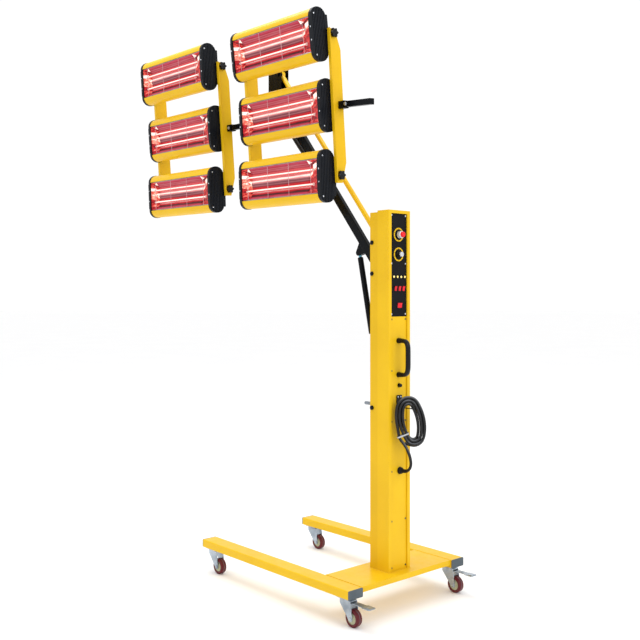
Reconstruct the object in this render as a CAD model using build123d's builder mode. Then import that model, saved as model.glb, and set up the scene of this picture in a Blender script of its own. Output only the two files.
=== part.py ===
from build123d import *
from math import atan2, cos, degrees, hypot, pi, radians, sin, sqrt
import os

os.makedirs("parts", exist_ok=True)

# Infrared paint curing lamp, millimetres. X points forward, the way the base's legs reach; Y points to the
# operator's left, the way the cassettes shine; Z points up from the floor. The origin lies on the floor under
# the middle of the whole lamp. Places are measured forward from the legs' back ends, left from the column's
# middle plane and up from the floor, and the function at() turns them into the lamp's frame.

# Base
base_width = 614.0
leg_length = 877.0
leg_width = 68.0
leg_height = 32.0
leg_wall = 2.5
leg_corner = 4.0
leg_underside = 100.0
deck_back = 8.0
deck_length = 186.0
deck_sheet = 3.0
deck_skirt = 20.0
plug_head = 4.0
plug_depth = 18.0
fit_gap = 0.3

# Castors
wheel_diameter = 63.0
tread_width = 26.0
tread_round = 5.0
shoulder_share = 0.3
hub_diameter = 42.0
hub_recess = 4.0
hub_rim = 2.0
hub_boss = 18.0
castor_trail = 27.0
back_swivel = 38.0
front_swivel = 836.0
top_plate_length = 62.0
top_plate_width = 58.0
top_plate_sheet = 2.5
race_height = 6.0
race_diameter = 46.0
kingpin_diameter = 10.0
fork_sheet = 2.5
fork_gap = 1.6
crown_length = 52.0
axle_diameter = 8.0
axle_eye = 10.0
axle_head = 3.0
pedal_pivot_back = 17.0
pedal_pivot_drop = 7.0
pedal_pin = 5.0
pedal_boss = 8.0
pedal_length = 102.0
pedal_width = 24.0
pedal_tip_width = 36.0
pedal_tip_length = 40.0
pedal_sheet = 2.5
running_gap = 0.15

# Column
column_width = 114.7
column_back = 51.0
column_front = 149.0
cabinet_front = 109.0
cabinet_sheet = 1.5
lip_width = 14.8
recess_depth = 5.0
flange_width = 10.0
panel_sheet = 2.0
panel_head = 78.0
column_head = 12.0
sheet_gap = 0.25
mast_back = 100.0
mast_wall = 3.5
mast_lip = 14.0
mast_drop = 6.0

# Panel fittings, each height a rise from the one below it
dial_rises = (156.0, 83.0)
dial_outer = 51.0
dial_inner = 35.0
dial_plate = 1.0
dial_gaps = 10
dial_gap_width = 2.2
spindle_diameter = 6.0
knob_diameter = 24.0
knob_length = 17.0
push_collar = 22.0
push_length = 20.0
push_cap_diameter = 19.0
push_travel = 3.0
lamp_rise = 43.5
lamp_pitch = 19.4
lamp_diameter = 9.0
lamp_stand = 3.0
rocker_rise = 62.5
rocker_shift = -5.5
rocker_pitch = 21.2
rocker_size = (12.0, 18.0)
main_rocker_rise = 41.0
main_rocker_size = (23.0, 19.0)
bezel_rim = 2.0
bezel_stand = 1.5
rocker_stand = 4.0
rocker_body = 20.0
rocker_clearance = 0.4
rocker_pin = 3.0

# Back cover fittings, each height a rise from the one below it
panel_rise = 152.5
handle_rise = 102.5
handle_span = 132.0
handle_reach = 54.0
handle_section = (18.0, 12.0)
handle_bend = 24.0
handle_foot = 24.0
handle_foot_sheet = 5.0
fuse_rise = 59.0
fuse_diameter = 14.0
fuse_length = 11.0
hook_rise = 71.0
hook_plate = (28.0, 46.0)
hook_sheet = 3.0
hook_screw_rise = 16.0
hook_width = 8.0
hook_shift = -4.5
hook_drop = 21.0
hook_reach = 72.0
hook_lip = 14.0
fitting_shift = -2.0
screw_head = 7.0
screw_stand = 2.0
screw_sides = 12
screw_line = 36.8
cover_screw_shares = (0.9893, 0.787, 0.5878, 0.3919, 0.197, 0.0138)
cover_right_screw_shares = (0.9893, 0.5878, 0.197, 0.0138)
panel_screw_shares = (0.9816, 0.5144, 0.0236)

# Mains cord
gland_rise = 368.0
gland_shift = -6.0
gland_flange = (26.0, 3.0)
gland_hex = (22.0, 5.0)
gland_boot = (16.0, 4.0)
cord_diameter = 11.0
cord_sides = 8
cord_gap = 0.3
coil_pitch = 11.9
coil_layer = 11.6
coil_layers = 2
coil_half_width = 53.5
coil_half_height = 93.0
coil_layer_quarters = 10
coil_quarters = 20
coil_flank_turn = 21.0
coil_turn = 40.0
coil_tilt = 11.0
coil_centre_forward = 4.0
coil_centre_left = -12.0
coil_rise = 186.0
climb_share = 0.75
lead_route = ((0, 0, 0), (-20, 0, 0), (-37.8, 1.2, 10), (-48.2, 3.3, 27.4), (-48.5, 5.9, 48.2), (-45, 11, 71),
              (-33.7, 17.2, 97.7))
lead_finish = ((52, -1.4), (30, -0.5), (13, 0), (0.3, 0))
tie_drop = 36.0
tie_aside = 45.9
tie_band = 43.2
tie_slope = 10.0
tie_sheet = 1.6
tie_width = 5.0
tie_gap = 0.35

# Arm linkage
pivot_forward = 139.0
arm_pivot_drop = 234.0
linkage_spacing = 116.0
arm_run = 601.0
arm_rise = 743.0
arm_width = 20.0
arm_depth = 34.0
arm_wall = 2.5
arm_tail = 22.0
arm_nose = 20.0
pivot_pin = 12.0
pivot_boss = 26.0
pin_head = 16.0
pin_head_stand = 5.0
tie_rod_diameter = 20.0
tie_eye = 30.0
tie_eye_width = 16.0
bracket_gap = 36.0
bracket_sheet = 3.0
bracket_back = 20.0
bracket_front = 64.0
bracket_above = 45.0
bracket_below = 143.0
bracket_corner = 8.0
standoff_size = 44.0
standoff_forward = 20.0
clamp_share = 0.48

# Gas spring
lug_along = 143.0
lug_below = 43.0
lug_round = 12.0
lug_length = 52.0
lug_sheet = 4.0
spring_eye_width = 9.0
spring_eye = 20.0
spring_pin = 8.0
spring_foot_forward = 138.0
spring_foot_drop = 500.0
cylinder_diameter = 22.0
cylinder_start = 20.0
cylinder_length = 298.0
rod_diameter = 10.0
rod_inside = 130.0
bore_depth = 285.0
foot_ear = 5.0
foot_ear_gap = 14.0
foot_ear_height = 40.0

# Cable sleeve under the arm
sleeve_diameter = 24.0
sleeve_start = 640.0
sleeve_end = 900.0
sleeve_bulge = 9.0

# Parking peg on the mast's left lip
peg_diameter = 13.0
peg_length = 32.0
peg_rise = 14.0
peg_shift = 48.0

# Crossbar and racks
bar_drop = 115.0
bank_pitch = 0.8
bar_droop = 3.5
bar_left = 171.0
bar_size = 22.0
bar_wall = 2.0
bar_corner = 3.0
bar_tail = 163.0
bar_nose = 25.0
bar_collar = 32.0
clamp_length = 42.0
rack_lean = 4.9
first_rack = 185.0
rack_pitch = 696.0
rack_width = 503.0
plate_length = 562.0
plate_depth = 59.0
plate_sheet = 2.5
plate_flange = 11.0
plate_front = 47.0
plate_chamfer = (24.0, 75.0)
rack_drop = 4.0
socket_size = 28.0
socket_length = 26.0
bolt_head = 8.0
stud_out = 23.0
stud_span = 517.0
stud_raise = 1.5
stud_diameter = 8.0
knob_star = 33.0
knob_star_waist = 22.0
knob_star_lobes = 6
knob_star_lobe = 8.0
knob_star_thick = 15.0

# Cassettes
head_gap = 5.0
head_height = 192.0
head_depth = 70.0
head_round = 33.0
duct_height = 140.0
duct_depth = 8.0
duct_round = 3.0
housing_wall = 2.0
window_height = 130.0
cap_thick = 14.0
cap_rim = 1.5
rib_count = 8
rib_pitch = 7.6
rib_groove = 3.0
rib_depth = 2.0
cap_lip_height = 112.0
cap_lip_stand = 2.5
swing_reach = 58.0
fixed_reach = 60.0
head_raises = {"upper": -5.0, "middle": 2.5, "lower": -3.0}
upper_tilts = (7.5, 4.0)
lower_tilt = 2.8
lug_plate = 5.0
lug_half = 13.0
spacer_diameter = 20.0
reflector_sheet = 1.0
reflector_mouth = 122.0
reflector_floor = 60.0
reflector_back = 44.0
quartz_diameter = 11.0
quartz_offsets = (24.0, -22.0)
quartz_depth = 24.0
guard_diameter = 2.0
guard_bays = 3

# Modules on the mast's back wall: width, height, depth and how far the middle lies above the panel's bottom edge
module_sizes = ((60.0, 84.0, 34.0, -91.0), (72.0, 110.0, 30.0, 129.0))

overrun = 1.0

cord_section = cord_sides / 2 * sin(2 * pi / cord_sides) * cord_diameter ** 2 / 4
arm_slope = degrees(atan2(arm_rise, arm_run))
arm_length = hypot(arm_run, arm_rise)
plate_underside = leg_underside + leg_height
deck_top = plate_underside
gland_height = deck_top + gland_rise
coil_centre_height = gland_height + coil_rise
hook_height = coil_centre_height + hook_rise
hook_top = hook_height - hook_drop
fuse_height = hook_height + fuse_rise
handle_middle = fuse_height + handle_rise
panel_bottom = handle_middle + panel_rise
main_rocker_height = panel_bottom + main_rocker_rise
rocker_height = main_rocker_height + rocker_rise
lamp_height = rocker_height + lamp_rise
dial_heights = tuple(lamp_height + rise for rise in dial_rises)
panel_top = dial_heights[0] + panel_head
column_top = panel_top + column_head
arm_pivot_height = column_top - arm_pivot_drop
spring_foot_height = arm_pivot_height - spring_foot_drop
peg_height = spring_foot_height + peg_rise
bar_height = arm_pivot_height + arm_rise - bar_drop
cover_screw_heights = [deck_top + (panel_bottom - deck_top) * share for share in cover_screw_shares]
cover_right_screw_heights = [deck_top + (panel_bottom - deck_top) * share for share in cover_right_screw_shares]
panel_screw_heights = [panel_bottom + (panel_top - panel_bottom) * share for share in panel_screw_shares]
recess_back = column_back + recess_depth
sheet_back = recess_back + panel_sheet
head_length = rack_width - 2 * (plate_sheet + head_gap)
housing_length = head_length - 2 * cap_thick
bar_front_end = first_rack + rack_pitch + rack_width + bar_nose
collar_middle = pivot_forward + arm_run + standoff_forward
stud_ups = (stud_raise + stud_span / 2, stud_raise - stud_span / 2)
bank_along = Vector(cos(radians(bank_pitch)), 0, sin(radians(bank_pitch)))
bank_up = Vector(-bank_along.Z, 0, bank_along.X)
bank_face = Vector(0, 1, 0)


def lean_vectors(tilt):
    """Outward and upward unit vectors of something on the crossbar that leans forward by tilt degrees."""
    lean = radians(tilt)
    return bank_face * cos(lean) - bank_up * sin(lean), bank_face * sin(lean) + bank_up * cos(lean)


rack_out, rack_up = lean_vectors(rack_lean)


def head_middle(rack, kind):
    """A cassette's middle seen from the crossbar, with its own outward and upward unit vectors."""
    tilt = {"upper": upper_tilts[rack], "middle": rack_lean, "lower": lower_tilt}[kind]
    face, rise = lean_vectors(tilt)
    if kind == "middle":
        return face * fixed_reach + rise * (head_raises[kind] - rack_drop), face, rise
    stud = rack_out * stud_out + rack_up * stud_ups[0 if kind == "upper" else 1]
    return stud + face * swing_reach + rise * head_raises[kind], face, rise


def front_reach(rack, kind):
    """How far a cassette's caps stand left of the column's middle plane."""
    middle, face, rise = head_middle(rack, kind)
    rim = face.Y * (head_depth / 2 - head_round) + head_round + cap_rim
    lip = face.Y * (head_depth / 2 + cap_lip_stand)
    flat_rise = rise.Y * (head_height / 2 - head_round)
    return bar_left + middle.Y + max(rim + flat_rise, lip + rise.Y * cap_lip_height / 2)


pedal_reach = pedal_length - (back_swivel - pedal_pivot_back)
bar_tip = collar_middle + bank_along.X * (bar_front_end - collar_middle)
legs_back_x = -(bar_tip - pedal_reach) / 2
front_most = max(front_reach(rack, kind) for rack in (0, 1) for kind in head_raises)
column_y = -(front_most - base_width / 2) / 2


def at(forward, left, up):
    """A point of the lamp, from its distances to the legs' back ends, the column's middle plane and the floor."""
    return Vector(legs_back_x + forward, column_y + left, up)


def finish(builder, name):
    """Label a finished sub-part and write it as its own file."""
    builder.part.label = name
    export_step(builder.part, "parts/" + name + ".step")


def across(forward, left, up):
    """A plane that faces forward, with its x to the right and its y up, at a point of the lamp."""
    return Plane(origin=at(forward, left, up), x_dir=(0, 1, 0), z_dir=(1, 0, 0))


def level(forward, left, up):
    """A plane that faces up, with its x forward and its y to the left."""
    return Plane(origin=at(forward, left, up), x_dir=(1, 0, 0), z_dir=(0, 0, 1))


def side_on(forward, left, up):
    """A plane that faces right, with its x forward and its y up."""
    return Plane(origin=at(forward, left, up), x_dir=(1, 0, 0), z_dir=(0, -1, 0))


def leg_middle(side):
    """How far a leg's middle lies from the column's middle plane."""
    return side * (base_width - leg_width) / 2


# Leg frame: two box tubes with a folded deck welded between them

with BuildPart() as leg_frame:
    for side in (1, -1):
        with BuildSketch(across(plug_head, leg_middle(side), leg_underside + leg_height / 2)):
            RectangleRounded(leg_width, leg_height, leg_corner)
            RectangleRounded(leg_width - 2 * leg_wall, leg_height - 2 * leg_wall, leg_corner - leg_wall,
                             mode=Mode.SUBTRACT)
        extrude(amount=leg_length)
    deck_side = base_width / 2 - leg_width
    with BuildSketch(side_on(deck_back, 0, deck_top)):
        with BuildLine():
            Polyline((0, -deck_skirt), (0, 0), (deck_length, 0), (deck_length, -deck_skirt),
                     (deck_length - deck_sheet, -deck_skirt), (deck_length - deck_sheet, -deck_sheet),
                     (deck_sheet, -deck_sheet), (deck_sheet, -deck_skirt), close=True)
        make_face()
    extrude(amount=deck_side, both=True)
finish(leg_frame, "leg_frame")

# Leg plugs: a head the size of the tube and a spigot inside it, at all four ends

with BuildPart() as leg_plugs:
    for side in (1, -1):
        for end, facing in ((plug_head, 1), (plug_head + leg_length, -1)):
            middle = leg_underside + leg_height / 2
            with BuildSketch(across(end, leg_middle(side), middle)):
                RectangleRounded(leg_width, leg_height, leg_corner)
            extrude(amount=-facing * plug_head)
            with BuildSketch(across(end, leg_middle(side), middle)):
                RectangleRounded(leg_width - 2 * (leg_wall + fit_gap), leg_height - 2 * (leg_wall + fit_gap),
                                 leg_corner - leg_wall)
            extrude(amount=facing * plug_depth)
finish(leg_plugs, "leg_plugs")

# Castors

castors = {
    "back_left": (back_swivel, 1),
    "back_right": (back_swivel, -1),
    "front_left": (front_swivel, 1),
    "front_right": (front_swivel, -1),
}
crown_top = leg_underside - top_plate_sheet - race_height - fit_gap
leg_inside = tread_width / 2 + fork_gap
fork_outside = leg_inside + fork_sheet
wheel_radius = wheel_diameter / 2
pedal_pivot_up = crown_top - pedal_pivot_drop

with BuildPart() as castor_plates:
    for swivel, side in castors.values():
        seat = level(swivel, leg_middle(side), leg_underside)
        with BuildSketch(seat):
            RectangleRounded(top_plate_length, top_plate_width, leg_corner)
        extrude(amount=-top_plate_sheet)
        with BuildSketch(seat.offset(-top_plate_sheet)):
            Circle(race_diameter / 2)
        extrude(amount=-race_height, taper=8)
        with BuildSketch(seat.offset(-top_plate_sheet)):
            Circle(kingpin_diameter / 2)
        extrude(amount=-(race_height + fit_gap + fork_sheet + fit_gap))
        with BuildSketch(level(swivel, leg_middle(side), crown_top - fork_sheet - fit_gap)):
            Circle(kingpin_diameter * 0.8)
        extrude(amount=-fork_sheet)
finish(castor_plates, "castor_plates")


def castor_fork(name, swivel, side, braked):
    """A pressed fork: a round crown, two tapering legs that lean back to the axle, and the axle bolt."""
    middle = leg_middle(side)
    with BuildPart() as fork:
        with BuildSketch(level(swivel, middle, crown_top)):
            Circle(race_diameter / 2 - fork_sheet)
            Rectangle(crown_length, 2 * fork_outside)
            Circle(kingpin_diameter / 2 + running_gap, mode=Mode.SUBTRACT)
        extrude(amount=-fork_sheet)
        for leg_side in (1, -1):
            with BuildSketch(side_on(swivel, middle + leg_side * (fork_outside + leg_inside) / 2, 0)):
                with Locations((-castor_trail, wheel_radius)):
                    Circle(axle_eye)
                with Locations((0, crown_top - pedal_pivot_drop)):
                    Rectangle(crown_length, 2 * pedal_pivot_drop)
                make_hull()
                if braked:
                    with Locations((-pedal_pivot_back, pedal_pivot_up)):
                        Circle(pedal_pin / 2 + running_gap, mode=Mode.SUBTRACT)
            extrude(amount=fork_sheet / 2, both=True)
        with BuildSketch(side_on(swivel - castor_trail, middle, wheel_radius)):
            Circle(axle_diameter / 2)
        extrude(amount=fork_outside + axle_head, both=True)
        for leg_side in (1, -1):
            with BuildSketch(side_on(swivel - castor_trail, middle + leg_side * fork_outside, wheel_radius)):
                Circle(axle_diameter * 0.75)
            extrude(amount=-leg_side * axle_head)
        nut_edges = fork.edges().filter_by(GeomType.CIRCLE).filter_by(
            lambda edge: abs(edge.radius - axle_diameter * 0.75) < fit_gap
        ).filter_by(lambda edge: abs(edge.center().Y - column_y - middle) > fork_outside + axle_head / 2)
        chamfer(nut_edges, axle_head * 0.5)
    finish(fork, name)


def castor_wheel(name, swivel, side):
    """A wheel turned in one profile: shouldered tread, stepped hub faces and a bore on the axle."""
    bore = axle_diameter / 2 + running_gap
    half = tread_width / 2
    with BuildPart() as wheel:
        centre = at(swivel - castor_trail, leg_middle(side), wheel_radius)
        with BuildSketch(Plane(origin=centre, x_dir=(1, 0, 0), z_dir=(0, 0, 1))):
            with BuildLine():
                shoulder = tread_round * shoulder_share
                side_face = [(bore, half), (hub_boss / 2, half), (hub_boss / 2 + hub_recess, half - hub_recess),
                             (hub_diameter / 2 - hub_rim, half - hub_recess), (hub_diameter / 2, half - hub_rim / 2),
                             (wheel_radius - tread_round, half), (wheel_radius - shoulder, half - shoulder),
                             (wheel_radius, half - tread_round)]
                Polyline(*side_face, *((across_way, -along) for across_way, along in reversed(side_face)),
                         close=True)
            make_face()
        revolve(axis=Axis(centre, (0, 1, 0)))
    finish(wheel, name)


def brake_pedal(name, swivel, side):
    """A pressed foot pedal on a pin through the fork's legs, widening to a turned-up toe plate."""
    middle = leg_middle(side)
    pivot = swivel - pedal_pivot_back
    with BuildPart() as pedal:
        with BuildSketch(level(pivot, middle, pedal_pivot_up - pedal_sheet / 2)):
            with Locations((-pedal_length / 2 + pedal_tip_length / 4, 0)):
                Rectangle(pedal_length - pedal_tip_length / 2, pedal_width)
            with Locations((-pedal_length + pedal_tip_length / 2, 0)):
                RectangleRounded(pedal_tip_length, pedal_tip_width, pedal_tip_width / 5)
        extrude(amount=pedal_sheet)
        with BuildSketch(side_on(pivot, middle, pedal_pivot_up)):
            Circle(pedal_boss / 2)
        extrude(amount=pedal_width / 2, both=True)
        with BuildSketch(side_on(pivot, middle, pedal_pivot_up)):
            Circle(pedal_pin / 2)
        extrude(amount=fork_outside + fit_gap, both=True)
        with BuildSketch(side_on(pivot - pedal_length, middle, pedal_pivot_up)):
            with BuildLine():
                Polyline((pedal_sheet, 0), (pedal_tip_length * 0.7, pedal_sheet / 2),
                         (pedal_tip_length * 0.35, pedal_sheet * 1.6), (pedal_sheet, pedal_sheet * 1.2), close=True)
            make_face()
        extrude(amount=pedal_width / 2, both=True)
    finish(pedal, name)


for place, (swivel, side) in castors.items():
    braked = swivel == back_swivel
    castor_fork("castor_fork_" + place, swivel, side, braked)
    castor_wheel("castor_wheel_" + place, swivel, side)
    if braked:
        brake_pedal("brake_pedal_" + place, swivel, side)

# Mast: a lipped channel, open to the front, where the arm swings

mast_width = column_width - 2 * (cabinet_sheet + fit_gap)
mast_depth = column_front - mast_back
mast_top = column_top - mast_drop
tie_pivot_height = arm_pivot_height + linkage_spacing

with BuildPart() as mast_channel:
    with BuildSketch(level((mast_back + column_front) / 2, 0, deck_top)):
        Rectangle(mast_depth, mast_width)
        Rectangle(mast_depth - 2 * mast_wall, mast_width - 2 * mast_wall, mode=Mode.SUBTRACT)
        with Locations(((mast_depth - mast_wall) / 2, 0)):
            Rectangle(mast_wall + overrun, mast_width - 2 * mast_lip, mode=Mode.SUBTRACT)
    extrude(amount=mast_top - deck_top)
    for height in (arm_pivot_height, tie_pivot_height):
        with BuildSketch(side_on(pivot_forward, 0, height)):
            Circle(pivot_pin / 2 + running_gap)
        extrude(amount=mast_width, both=True, mode=Mode.SUBTRACT)
finish(mast_channel, "mast_channel")

# Cabinet: one folded sheet round the back of the mast, with a recessed flange that the panel and cover lie on

with BuildPart() as cabinet_shell:
    half = column_width / 2
    inner = half - lip_width
    with BuildSketch(level(0, 0, deck_top)):
        with BuildLine():
            Polyline((cabinet_front, half), (column_back, half), (column_back, inner),
                     (sheet_back, inner), (sheet_back, inner - flange_width),
                     (sheet_back + cabinet_sheet, inner - flange_width),
                     (sheet_back + cabinet_sheet, inner + cabinet_sheet),
                     (column_back + cabinet_sheet, inner + cabinet_sheet),
                     (column_back + cabinet_sheet, half - cabinet_sheet), (cabinet_front, half - cabinet_sheet),
                     close=True)
        make_face()
        mirror(about=Plane.XZ)
    extrude(amount=column_top - deck_top)
    with BuildSketch(level((column_back + cabinet_front) / 2, 0, column_top - cabinet_sheet)):
        Rectangle(cabinet_front - column_back, column_width)
    extrude(amount=cabinet_sheet)
    with BuildSketch(level((column_back + sheet_back) / 2, 0, panel_top + sheet_gap)):
        Rectangle(sheet_back - column_back, 2 * inner)
    extrude(amount=column_top - panel_top - sheet_gap)
finish(cabinet_shell, "cabinet_shell")

# Back cover and control panel: flat sheets in the recess

panel_width = 2 * (column_width / 2 - lip_width - sheet_gap)
rocker_places = [(rocker_shift + step * rocker_pitch, rocker_height) for step in (1, 0, -1)]
lamp_places = [(fitting_shift + step * lamp_pitch, lamp_height) for step in (1.5, 0.5, -0.5, -1.5)]

with BuildPart() as back_cover:
    cover_bottom = deck_top + sheet_gap
    cover_height = panel_bottom - sheet_gap - cover_bottom
    with BuildSketch(across(recess_back, 0, cover_bottom + cover_height / 2)):
        Rectangle(panel_width, cover_height)
    extrude(amount=panel_sheet)
    for height, width in ((gland_height, gland_boot[0]), (fuse_height, fuse_diameter * 0.7)):
        shift = gland_shift if height == gland_height else fitting_shift
        with BuildSketch(across(recess_back, shift, height)):
            Circle(width / 2 + fit_gap)
        extrude(amount=panel_sheet, mode=Mode.SUBTRACT)
finish(back_cover, "back_cover")

with BuildPart() as control_panel:
    panel_height = panel_top - panel_bottom
    with BuildSketch(across(recess_back, 0, panel_bottom + panel_height / 2)):
        Rectangle(panel_width, panel_height)
    extrude(amount=panel_sheet)
    for shift, height in rocker_places:
        with BuildSketch(across(recess_back, shift, height)):
            Rectangle(*rocker_size)
        extrude(amount=panel_sheet, mode=Mode.SUBTRACT)
    with BuildSketch(across(recess_back, rocker_shift, main_rocker_height)):
        Rectangle(*main_rocker_size)
    extrude(amount=panel_sheet, mode=Mode.SUBTRACT)
    for height in dial_heights:
        with BuildSketch(across(recess_back, 0, height)):
            Circle(spindle_diameter / 2 + fit_gap)
        extrude(amount=panel_sheet, mode=Mode.SUBTRACT)
finish(control_panel, "control_panel")

# Panel fittings: dial scales cut into even steps, switch bezels and indicator lamps, all on the panel's face

with BuildPart() as panel_fittings:
    for height in dial_heights:
        with BuildSketch(across(recess_back, 0, height)):
            Circle(dial_outer / 2)
            Circle(dial_inner / 2, mode=Mode.SUBTRACT)
            with PolarLocations((dial_outer + dial_inner) / 4, dial_gaps, start_angle=270):
                Rectangle((dial_outer - dial_inner) * 0.3, dial_gap_width, mode=Mode.SUBTRACT)
        extrude(amount=-dial_plate)
    for shift, height in rocker_places + [(rocker_shift, main_rocker_height)]:
        size = main_rocker_size if height == main_rocker_height else rocker_size
        with BuildSketch(across(recess_back, shift, height)):
            RectangleRounded(size[0] + 2 * bezel_rim, size[1] + 2 * bezel_rim, bezel_rim)
            Rectangle(*size, mode=Mode.SUBTRACT)
        extrude(amount=-bezel_stand)
    for shift, height in lamp_places:
        with BuildSketch(across(recess_back, shift, height)):
            Circle(lamp_diameter / 2)
        extrude(amount=-lamp_stand)
    chamfer(panel_fittings.faces().filter_by(Axis.X).group_by(Axis.X)[0].edges(), lamp_stand / 3)
finish(panel_fittings, "panel_fittings")


def rocker(name, shift, height, size):
    """A rocker button: a shallow vee face on a body that turns on a level pin behind the panel."""
    width = size[0] - 2 * rocker_clearance
    half = size[1] / 2 - rocker_clearance
    with BuildPart() as button:
        with BuildSketch(side_on(recess_back, shift, height)):
            with BuildLine():
                Polyline((-rocker_stand, half), (-rocker_stand * 0.4, 0), (-rocker_stand * 0.2, -half),
                         (rocker_body * 0.3, -half * 0.8), (rocker_body * 0.3, half * 0.8), close=True)
            make_face()
        extrude(amount=width / 2, both=True)
        with BuildSketch(side_on(recess_back + rocker_pin / 2, shift, height)):
            Circle(rocker_pin / 2)
        extrude(amount=size[0] / 2 - rocker_clearance / 2, both=True)
    finish(button, name)


for order, (shift, height) in enumerate(rocker_places):
    rocker("bank_switch_" + str(order + 1), shift, height, rocker_size)
rocker("main_switch", rocker_shift, main_rocker_height, main_rocker_size)

with BuildPart() as timer_knob:
    spindle_reach = panel_sheet + knob_length / 2
    with BuildSketch(across(recess_back - fit_gap - dial_plate, 0, dial_heights[1])):
        Circle(knob_diameter / 2)
        with PolarLocations(knob_diameter / 2 + knob_diameter / 16, 12):
            Circle(knob_diameter / 10, mode=Mode.SUBTRACT)
    extrude(amount=-knob_length * 0.7)
    with BuildSketch(across(recess_back - fit_gap - dial_plate - knob_length * 0.7, 0, dial_heights[1])):
        Circle(knob_diameter * 0.32)
    extrude(amount=-knob_length * 0.3)
    with BuildSketch(across(sheet_back + panel_sheet, 0, dial_heights[1])):
        Circle(spindle_diameter / 2)
    extrude(amount=-spindle_reach)
finish(timer_knob, "timer_knob")

with BuildPart() as push_knob:
    push_face = recess_back - fit_gap - dial_plate - push_travel
    with BuildSketch(across(push_face, 0, dial_heights[0])):
        Circle(push_collar / 2)
    extrude(amount=-push_length * 0.6)
    with BuildSketch(across(push_face - push_length * 0.6, 0, dial_heights[0])):
        Circle(push_cap_diameter / 2)
    extrude(amount=-push_length * 0.4)
    chamfer(push_knob.edges().group_by(Axis.X)[0], push_length * 0.1)
    with BuildSketch(across(sheet_back + panel_sheet, 0, dial_heights[0])):
        Circle(spindle_diameter / 2)
    extrude(amount=-(panel_sheet * 3 + push_travel + dial_plate))
finish(push_knob, "push_knob")

# Carrying handle: a round-cornered bow on two feet

with BuildPart() as carry_handle:
    foot_plane = side_on(recess_back, fitting_shift, handle_middle)
    with BuildLine(foot_plane) as bow:
        half = handle_span / 2
        FilletPolyline((-handle_foot_sheet, half), (-handle_reach + handle_section[1] / 2, half * 0.94),
                       (-handle_reach + handle_section[1] / 2, -half * 0.94), (-handle_foot_sheet, -half),
                       radius=handle_bend)
    with BuildSketch(Plane(origin=bow.line @ 0, x_dir=(0, 1, 0), z_dir=bow.line % 0)) as grip:
        Rectangle(*handle_section)
        chamfer(grip.vertices(), handle_section[1] * 0.28)
    sweep(path=bow.line)
    for end in (half, -half):
        with BuildSketch(across(recess_back, fitting_shift, handle_middle + end)):
            RectangleRounded(handle_foot, handle_foot * 0.9, handle_foot / 4)
        extrude(amount=-handle_foot_sheet)
finish(carry_handle, "carry_handle")

# Cord hook: a plate with a strap that bends out below it and ends in an upturned lip

with BuildPart() as cord_hook:
    with BuildSketch(across(recess_back, fitting_shift, hook_height)):
        RectangleRounded(hook_plate[0], hook_plate[1], hook_sheet)
    extrude(amount=-hook_sheet)
    with BuildSketch(side_on(recess_back, hook_shift, hook_top)):
        with BuildLine():
            Polyline((0, hook_drop), (0, -hook_sheet), (-hook_reach, -hook_sheet), (-hook_reach, hook_lip),
                     (-hook_reach + hook_sheet, hook_lip), (-hook_reach + hook_sheet, 0), (-hook_sheet, 0),
                     (-hook_sheet, hook_drop), close=True)
        make_face()
    extrude(amount=hook_width / 2, both=True)
finish(cord_hook, "cord_hook")

# Cover fittings: the cord gland, with its flange, hexagon and boot, and the fuse holder above

gland_tip = recess_back - gland_flange[1] - gland_hex[1] - gland_boot[1]
with BuildPart() as cover_fittings:
    with BuildSketch(across(recess_back, gland_shift, gland_height)):
        Circle(gland_flange[0] / 2)
    extrude(amount=-gland_flange[1])
    with BuildSketch(across(recess_back - gland_flange[1], gland_shift, gland_height)):
        RegularPolygon(gland_hex[0] / 2, 6)
    extrude(amount=-gland_hex[1])
    with BuildSketch(across(recess_back - gland_flange[1] - gland_hex[1], gland_shift, gland_height)):
        Circle(gland_boot[0] / 2)
    extrude(amount=-gland_boot[1], taper=3)
    with BuildSketch(across(recess_back, gland_shift, gland_height)):
        Circle(gland_boot[0] / 2)
    extrude(amount=panel_sheet + gland_flange[1])
    with BuildSketch(across(recess_back, fitting_shift, fuse_height)):
        RegularPolygon(fuse_diameter * 0.62, 6)
    extrude(amount=-fuse_length * 0.3)
    with BuildSketch(across(recess_back, fitting_shift, fuse_height)):
        Circle(fuse_diameter / 2 * 0.85)
    extrude(amount=-fuse_length)
    with BuildSketch(across(recess_back, fitting_shift, fuse_height)):
        Circle(fuse_diameter * 0.35)
    extrude(amount=panel_sheet + fuse_length)
finish(cover_fittings, "cover_fittings")

# Mains cord coil: one unbroken tube that winds in and out in layers, each quarter turn on a pair of arcs

turn = radians(coil_turn)
tilt = radians(coil_tilt)
level_right = Vector(-sin(turn), -cos(turn), 0)
coil_right = level_right * cos(tilt) + Vector(0, 0, sin(tilt))
coil_up = Vector(0, 0, cos(tilt)) - level_right * sin(tilt)
coil_out = Vector(cos(turn), -sin(turn), 0)
coil_centre = at(coil_centre_forward, coil_centre_left, coil_centre_height)
quarter_headings = ((-1, 0), (0, 1), (1, 0), (0, -1))


def coil_inward(quarter):
    """How far the spiral has wound inward after so many quarter turns."""
    cycle = quarter % (2 * coil_layer_quarters)
    return min(cycle, 2 * coil_layer_quarters - cycle) * coil_pitch / 4


def coil_station(quarter):
    """Place and heading of the coil's middle line after so many quarter turns."""
    inward = coil_inward(quarter)
    reversing = 0 < quarter < coil_quarters and quarter % coil_layer_quarters == 0
    layer = max(quarter - 1, 0) // coil_layer_quarters
    depth = (layer + (0.5 if reversing else 0) - (coil_layers - 1) / 2) * coil_layer
    across_share, up_share = quarter_headings[quarter % 4]
    place = (coil_centre + coil_right * across_share * (coil_half_width - inward)
             + coil_up * up_share * (coil_half_height - inward) + coil_out * depth)
    heading = coil_right * up_share - coil_up * across_share
    if reversing:
        quarter_length = (coil_half_width + coil_half_height) * climb_share
        heading = heading + coil_out * (coil_layer * climb_share / quarter_length)
    return place, heading.normalized()


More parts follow.
